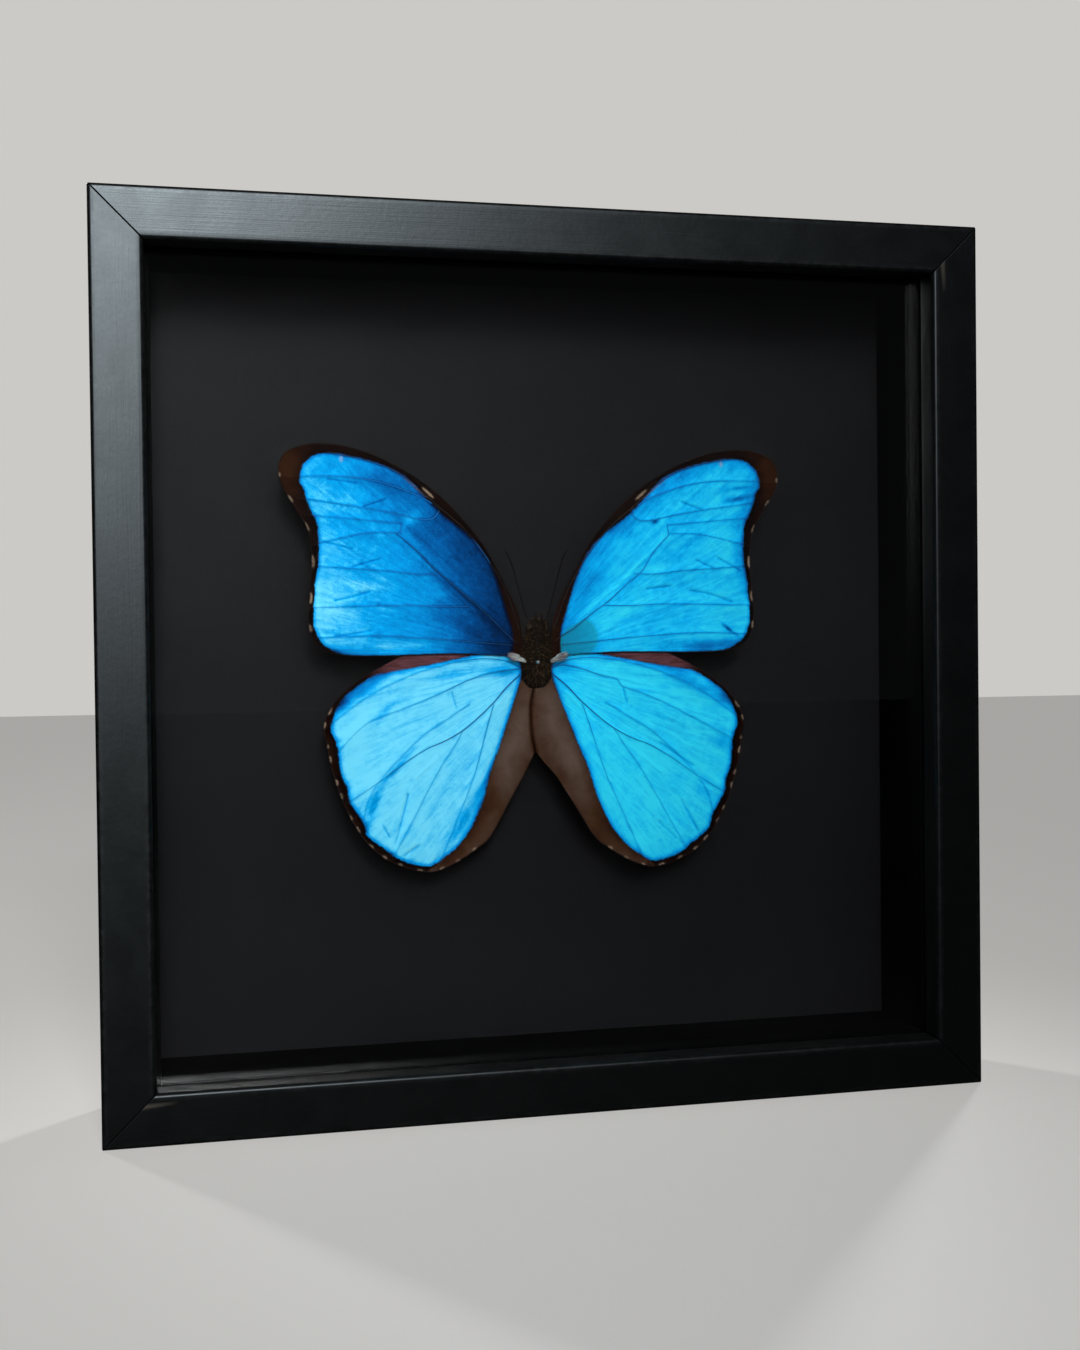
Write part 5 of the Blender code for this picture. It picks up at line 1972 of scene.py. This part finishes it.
@dataclass
class InsectPin:
    """Steel pin with a small round head."""

    finish: Material
    segments: int = 28
    shaft: float = 0.22 * MM
    point: float = 1.4 * MM

    def build(self) -> None:
        """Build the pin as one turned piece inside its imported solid."""
        low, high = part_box("insect_pin")
        x, z = (low.x + high.x) / 2, (low.z + high.z) / 2
        head, length = (high.x - low.x) / 2, high.y - low.y
        profile = [(head * (1 - math.cos(a)), head * math.sin(a)) for a in np.linspace(0.12, 2.7, 14)]
        profile += [(2.0 * head, self.shaft), (length - self.point, self.shaft), (length, 0.02 * MM)]
        turn = circle(self.segments)
        rings = [np.column_stack([x + r * np.cos(turn), np.full(len(turn), low.y + d), z + r * np.sin(turn)])
                 for d, r in profile]
        finish_piece(skin_over("specimen_pin", rings), self.finish, "pin_metal", "insect_pin")


# ---- Studio ----


@dataclass
class Studio:
    """Plain pale floor, soft lights and the camera."""

    floor_finish: Material
    floor_half: float = 3.0
    centre: Vector = field(default_factory=lambda: Vector((0, 0, 0.125)))
    camera_place: tuple[float, float, float] = (-0.1141, -0.4717, 0.1300)
    right: tuple[float, float, float] = (0.97262, -0.23215, -0.01152)
    up: tuple[float, float, float] = (0.01539, 0.01488, 0.99977)
    ahead: tuple[float, float, float] = (0.23192, 0.97257, -0.01805)
    lens: float = 44.98
    fill_light: Colour = (0.020, 0.021, 0.022)
    backdrop: Colour = (0.60, 0.59, 0.57)

    def build_floor(self) -> None:
        """Build the floor just under the frame."""
        half, low = self.floor_half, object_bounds()[0].z
        verts = [(x * half, y * half, low) for x, y in ((-1, -1), (1, -1), (1, 1), (-1, 1))]
        floor = make_object("studio_floor", verts, [(0, 1, 2, 3)], smooth=False)
        floor.data.materials.append(self.floor_finish)
        floor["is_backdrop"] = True

    def soft_light(self, name: str, azimuth: float, elevation: float, distance: float, size: Point2,
                   power: float, aim: tuple[float, float, float], spread: float) -> None:
        """Hang one soft light.

        Args:
            name: Name of the light.
            azimuth: Degrees to the right of straight in front.
            elevation: Degrees above the frame's middle.
            distance: Metres from the frame's middle.
            size: Width and height of the light in metres.
            power: Watts.
            aim: The point that the light faces.
            spread: Degrees of its beam.
        """
        data = bpy.data.lights.new(name, "AREA")
        data.shape, data.energy, data.spread = "RECTANGLE", power, math.radians(spread)
        data.size, data.size_y = size
        lamp = link_object(name, data)
        a, e = math.radians(azimuth), math.radians(elevation)
        way = Vector((math.sin(a) * math.cos(e), -math.cos(a) * math.cos(e), math.sin(e)))
        lamp.location = self.centre + way * distance
        lamp.rotation_euler = (lamp.location - Vector(aim)).to_track_quat("Z", "Y").to_euler()

    def build_world(self) -> None:
        """Set a pale backdrop that hardly lights the case."""
        scene = bpy.context.scene
        scene.world = bpy.data.worlds.new("studio")
        scene.world.use_nodes = True
        w = Wiring(scene.world.node_tree)
        back = scene.world.node_tree.nodes["Background"]
        seen = w.add("ShaderNodeLightPath").outputs["Is Camera Ray"]
        w.fill(back, {"Color": w.mix(seen, self.fill_light, self.backdrop)})

    def build_camera(self) -> None:
        """Set the camera."""
        data = bpy.data.cameras.new("camera")
        data.lens, data.sensor_width, data.clip_start = self.lens, 36.0, 0.01
        camera = link_object("camera", data)
        turn = Matrix((self.right, self.up, tuple(-part for part in self.ahead))).transposed().to_4x4()
        camera.matrix_world = Matrix.Translation(self.camera_place) @ turn
        bpy.context.scene.camera = camera

    def build(self) -> None:
        """Build the studio."""
        self.build_floor()
        self.build_world()
        self.soft_light("key", -3, 25.5, 1.7, (0.34, 0.34), 0.42, (-0.145, 0, 0.19), 32)
        self.soft_light("strip", -9.5, 15.5, 1.28, (0.13, 0.50), 0.17, (-0.12, 0, 0.20), 40)
        for name, azimuth in (("back_left", 212), ("back_right", 140)):
            self.soft_light(name, azimuth, 25, 1.3, (0.2, 0.2), 0.15, tuple(self.centre), 15)
        self.build_camera()
        bpy.context.scene.view_settings.view_transform = "Standard"


# ---- The whole object ----


def build_case(effects: Effects) -> None:
    """Build the moulding, the glass, the spacers, the card and the back."""
    pin_low, pin_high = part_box("insect_pin")
    Moulding(Lacquer().build(effects)).build()
    glass = bpy.data.objects["glass_pane"]
    glass.data.materials.clear()
    glass.data.materials.append(Pane().build(effects))
    spacer = Paper("spacer_paper", (0.0003, 0.0004, 0.0004), (0.0008, 0.0009, 0.0009), (0.003, 0.003, 0.003),
                   roughness=0.8, dust=0.06, gloss=0.02).build(effects)
    for number, place in enumerate(("left", "right", "top", "bottom")):
        cells = (8, 140) if number < 2 else (140, 8)
        SheetStock(f"spacer_{place}", f"spacer_strip_{place}", "spacer_paper", spacer, cells, waver=0.0,
                   seed=number).build()
    card = Paper("charcoal_card", (0.0046, 0.0048, 0.0056), (0.0062, 0.0064, 0.0073), (0.013, 0.0135, 0.015),
                 roughness=0.46, dust=0.12, gloss=0.045).build(effects)
    SheetStock("mount_board", "mount_card", "card", card, (180, 180), waver=0.12 * MM, seed=5,
               pin=(pin_low + pin_high) / 2).build()
    board = Hardboard().build(effects)
    SheetStock("back_panel", "back_board", "hardboard", board, (90, 90), seed=8).build()
    BackFixings(Metal("fixing_steel").build(effects)).build()


def build_butterfly(effects: Effects) -> None:
    """Build the pinned butterfly."""
    fur = Hair("brown_fur", ((0.2, (0.003, 0.0018, 0.001)), (0.45, (0.008, 0.0048, 0.0026)),
                             (0.62, (0.034, 0.019, 0.008)), (0.85, (0.15, 0.085, 0.035))), gloss=0.03)
    tuft = Hair("pale_tuft", ((0.05, (0.020, 0.012, 0.012)), (0.35, (0.20, 0.125, 0.13)),
                              (0.55, (0.26, 0.34, 0.35)), (0.85, (0.62, 0.68, 0.64))))
    fringe = Hair("fringe_scales", ((0.0, (0.004, 0.003, 0.003)), (0.45, (0.016, 0.010, 0.010)),
                                    (0.75, (0.30, 0.22, 0.16))), gloss=0.05, cloud=900.0)
    horn = Hair("dark_horn", ((0.2, (0.0016, 0.0012, 0.001)), (0.7, (0.006, 0.0042, 0.0034))), 0.55, 0.03)
    eye = Hair("compound_eye", ((0.2, (0.008, 0.005, 0.004)), (0.7, (0.05, 0.03, 0.02))), 0.32, 0.30, 2400.0)
    fore_vein = Hair("forewing_veins", ((0.0, (0.006, 0.0028, 0.002)), (0.2, (0.001, 0.012, 0.050)),
                                       (0.8, (0.001, 0.135, 0.40))), 0.5)
    hind_vein = Hair("hindwing_veins", ((0.0, (0.006, 0.0028, 0.002)), (0.2, (0.001, 0.045, 0.150)),
                                      (0.8, (0.003, 0.300, 0.58))), 0.5)
    fur_made, fringe_made = fur.build(effects), fringe.build(effects)
    vein_made = {Wing.FORE: fore_vein.build(effects), Wing.HIND: hind_vein.build(effects)}
    vein_tree, fringe_tree = WingBuilder.vein_tree(), WingBuilder.fringe_tree()
    for side in Side:
        # The left wings get more painted sheen: they look paler only because of how light falls on them.
        painted_sheen = 0.36 if side is Side.LEFT else 0.04
        for kind, plan in zip(Wing, wing_plans(side)):
            scales = WingScales(f"{kind.value}_scales_{side.label}", painted_sheen).build(effects)
            wing = WingBuilder(kind, side, plan, scales, vein_made[kind], fringe_made)
            wing.build_membrane()
            wing.build_veins(vein_tree)
            wing.build_fringe(fringe_tree)
    finishes = [finish.build(effects) for finish in (horn, eye, tuft)]
    ButterflyBody(fur_made, *finishes, HairCoat(fur_made)).build()
    InsectPin(Metal("pin_metal", (0.72, 0.70, 0.66), (0.45, 0.43, 0.40), (0.18, 0.35)).build(effects)).build()


def main() -> None:
    """Build the framed butterfly and its studio."""
    logging.basicConfig(level=logging.INFO, format="%(message)s")
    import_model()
    effects = Effects()
    Studio(FloorPaint().build(effects)).build()
    build_case(effects)
    build_butterfly(effects)
    bpy.context.view_layer.update()


if __name__ == "__main__":
    main()
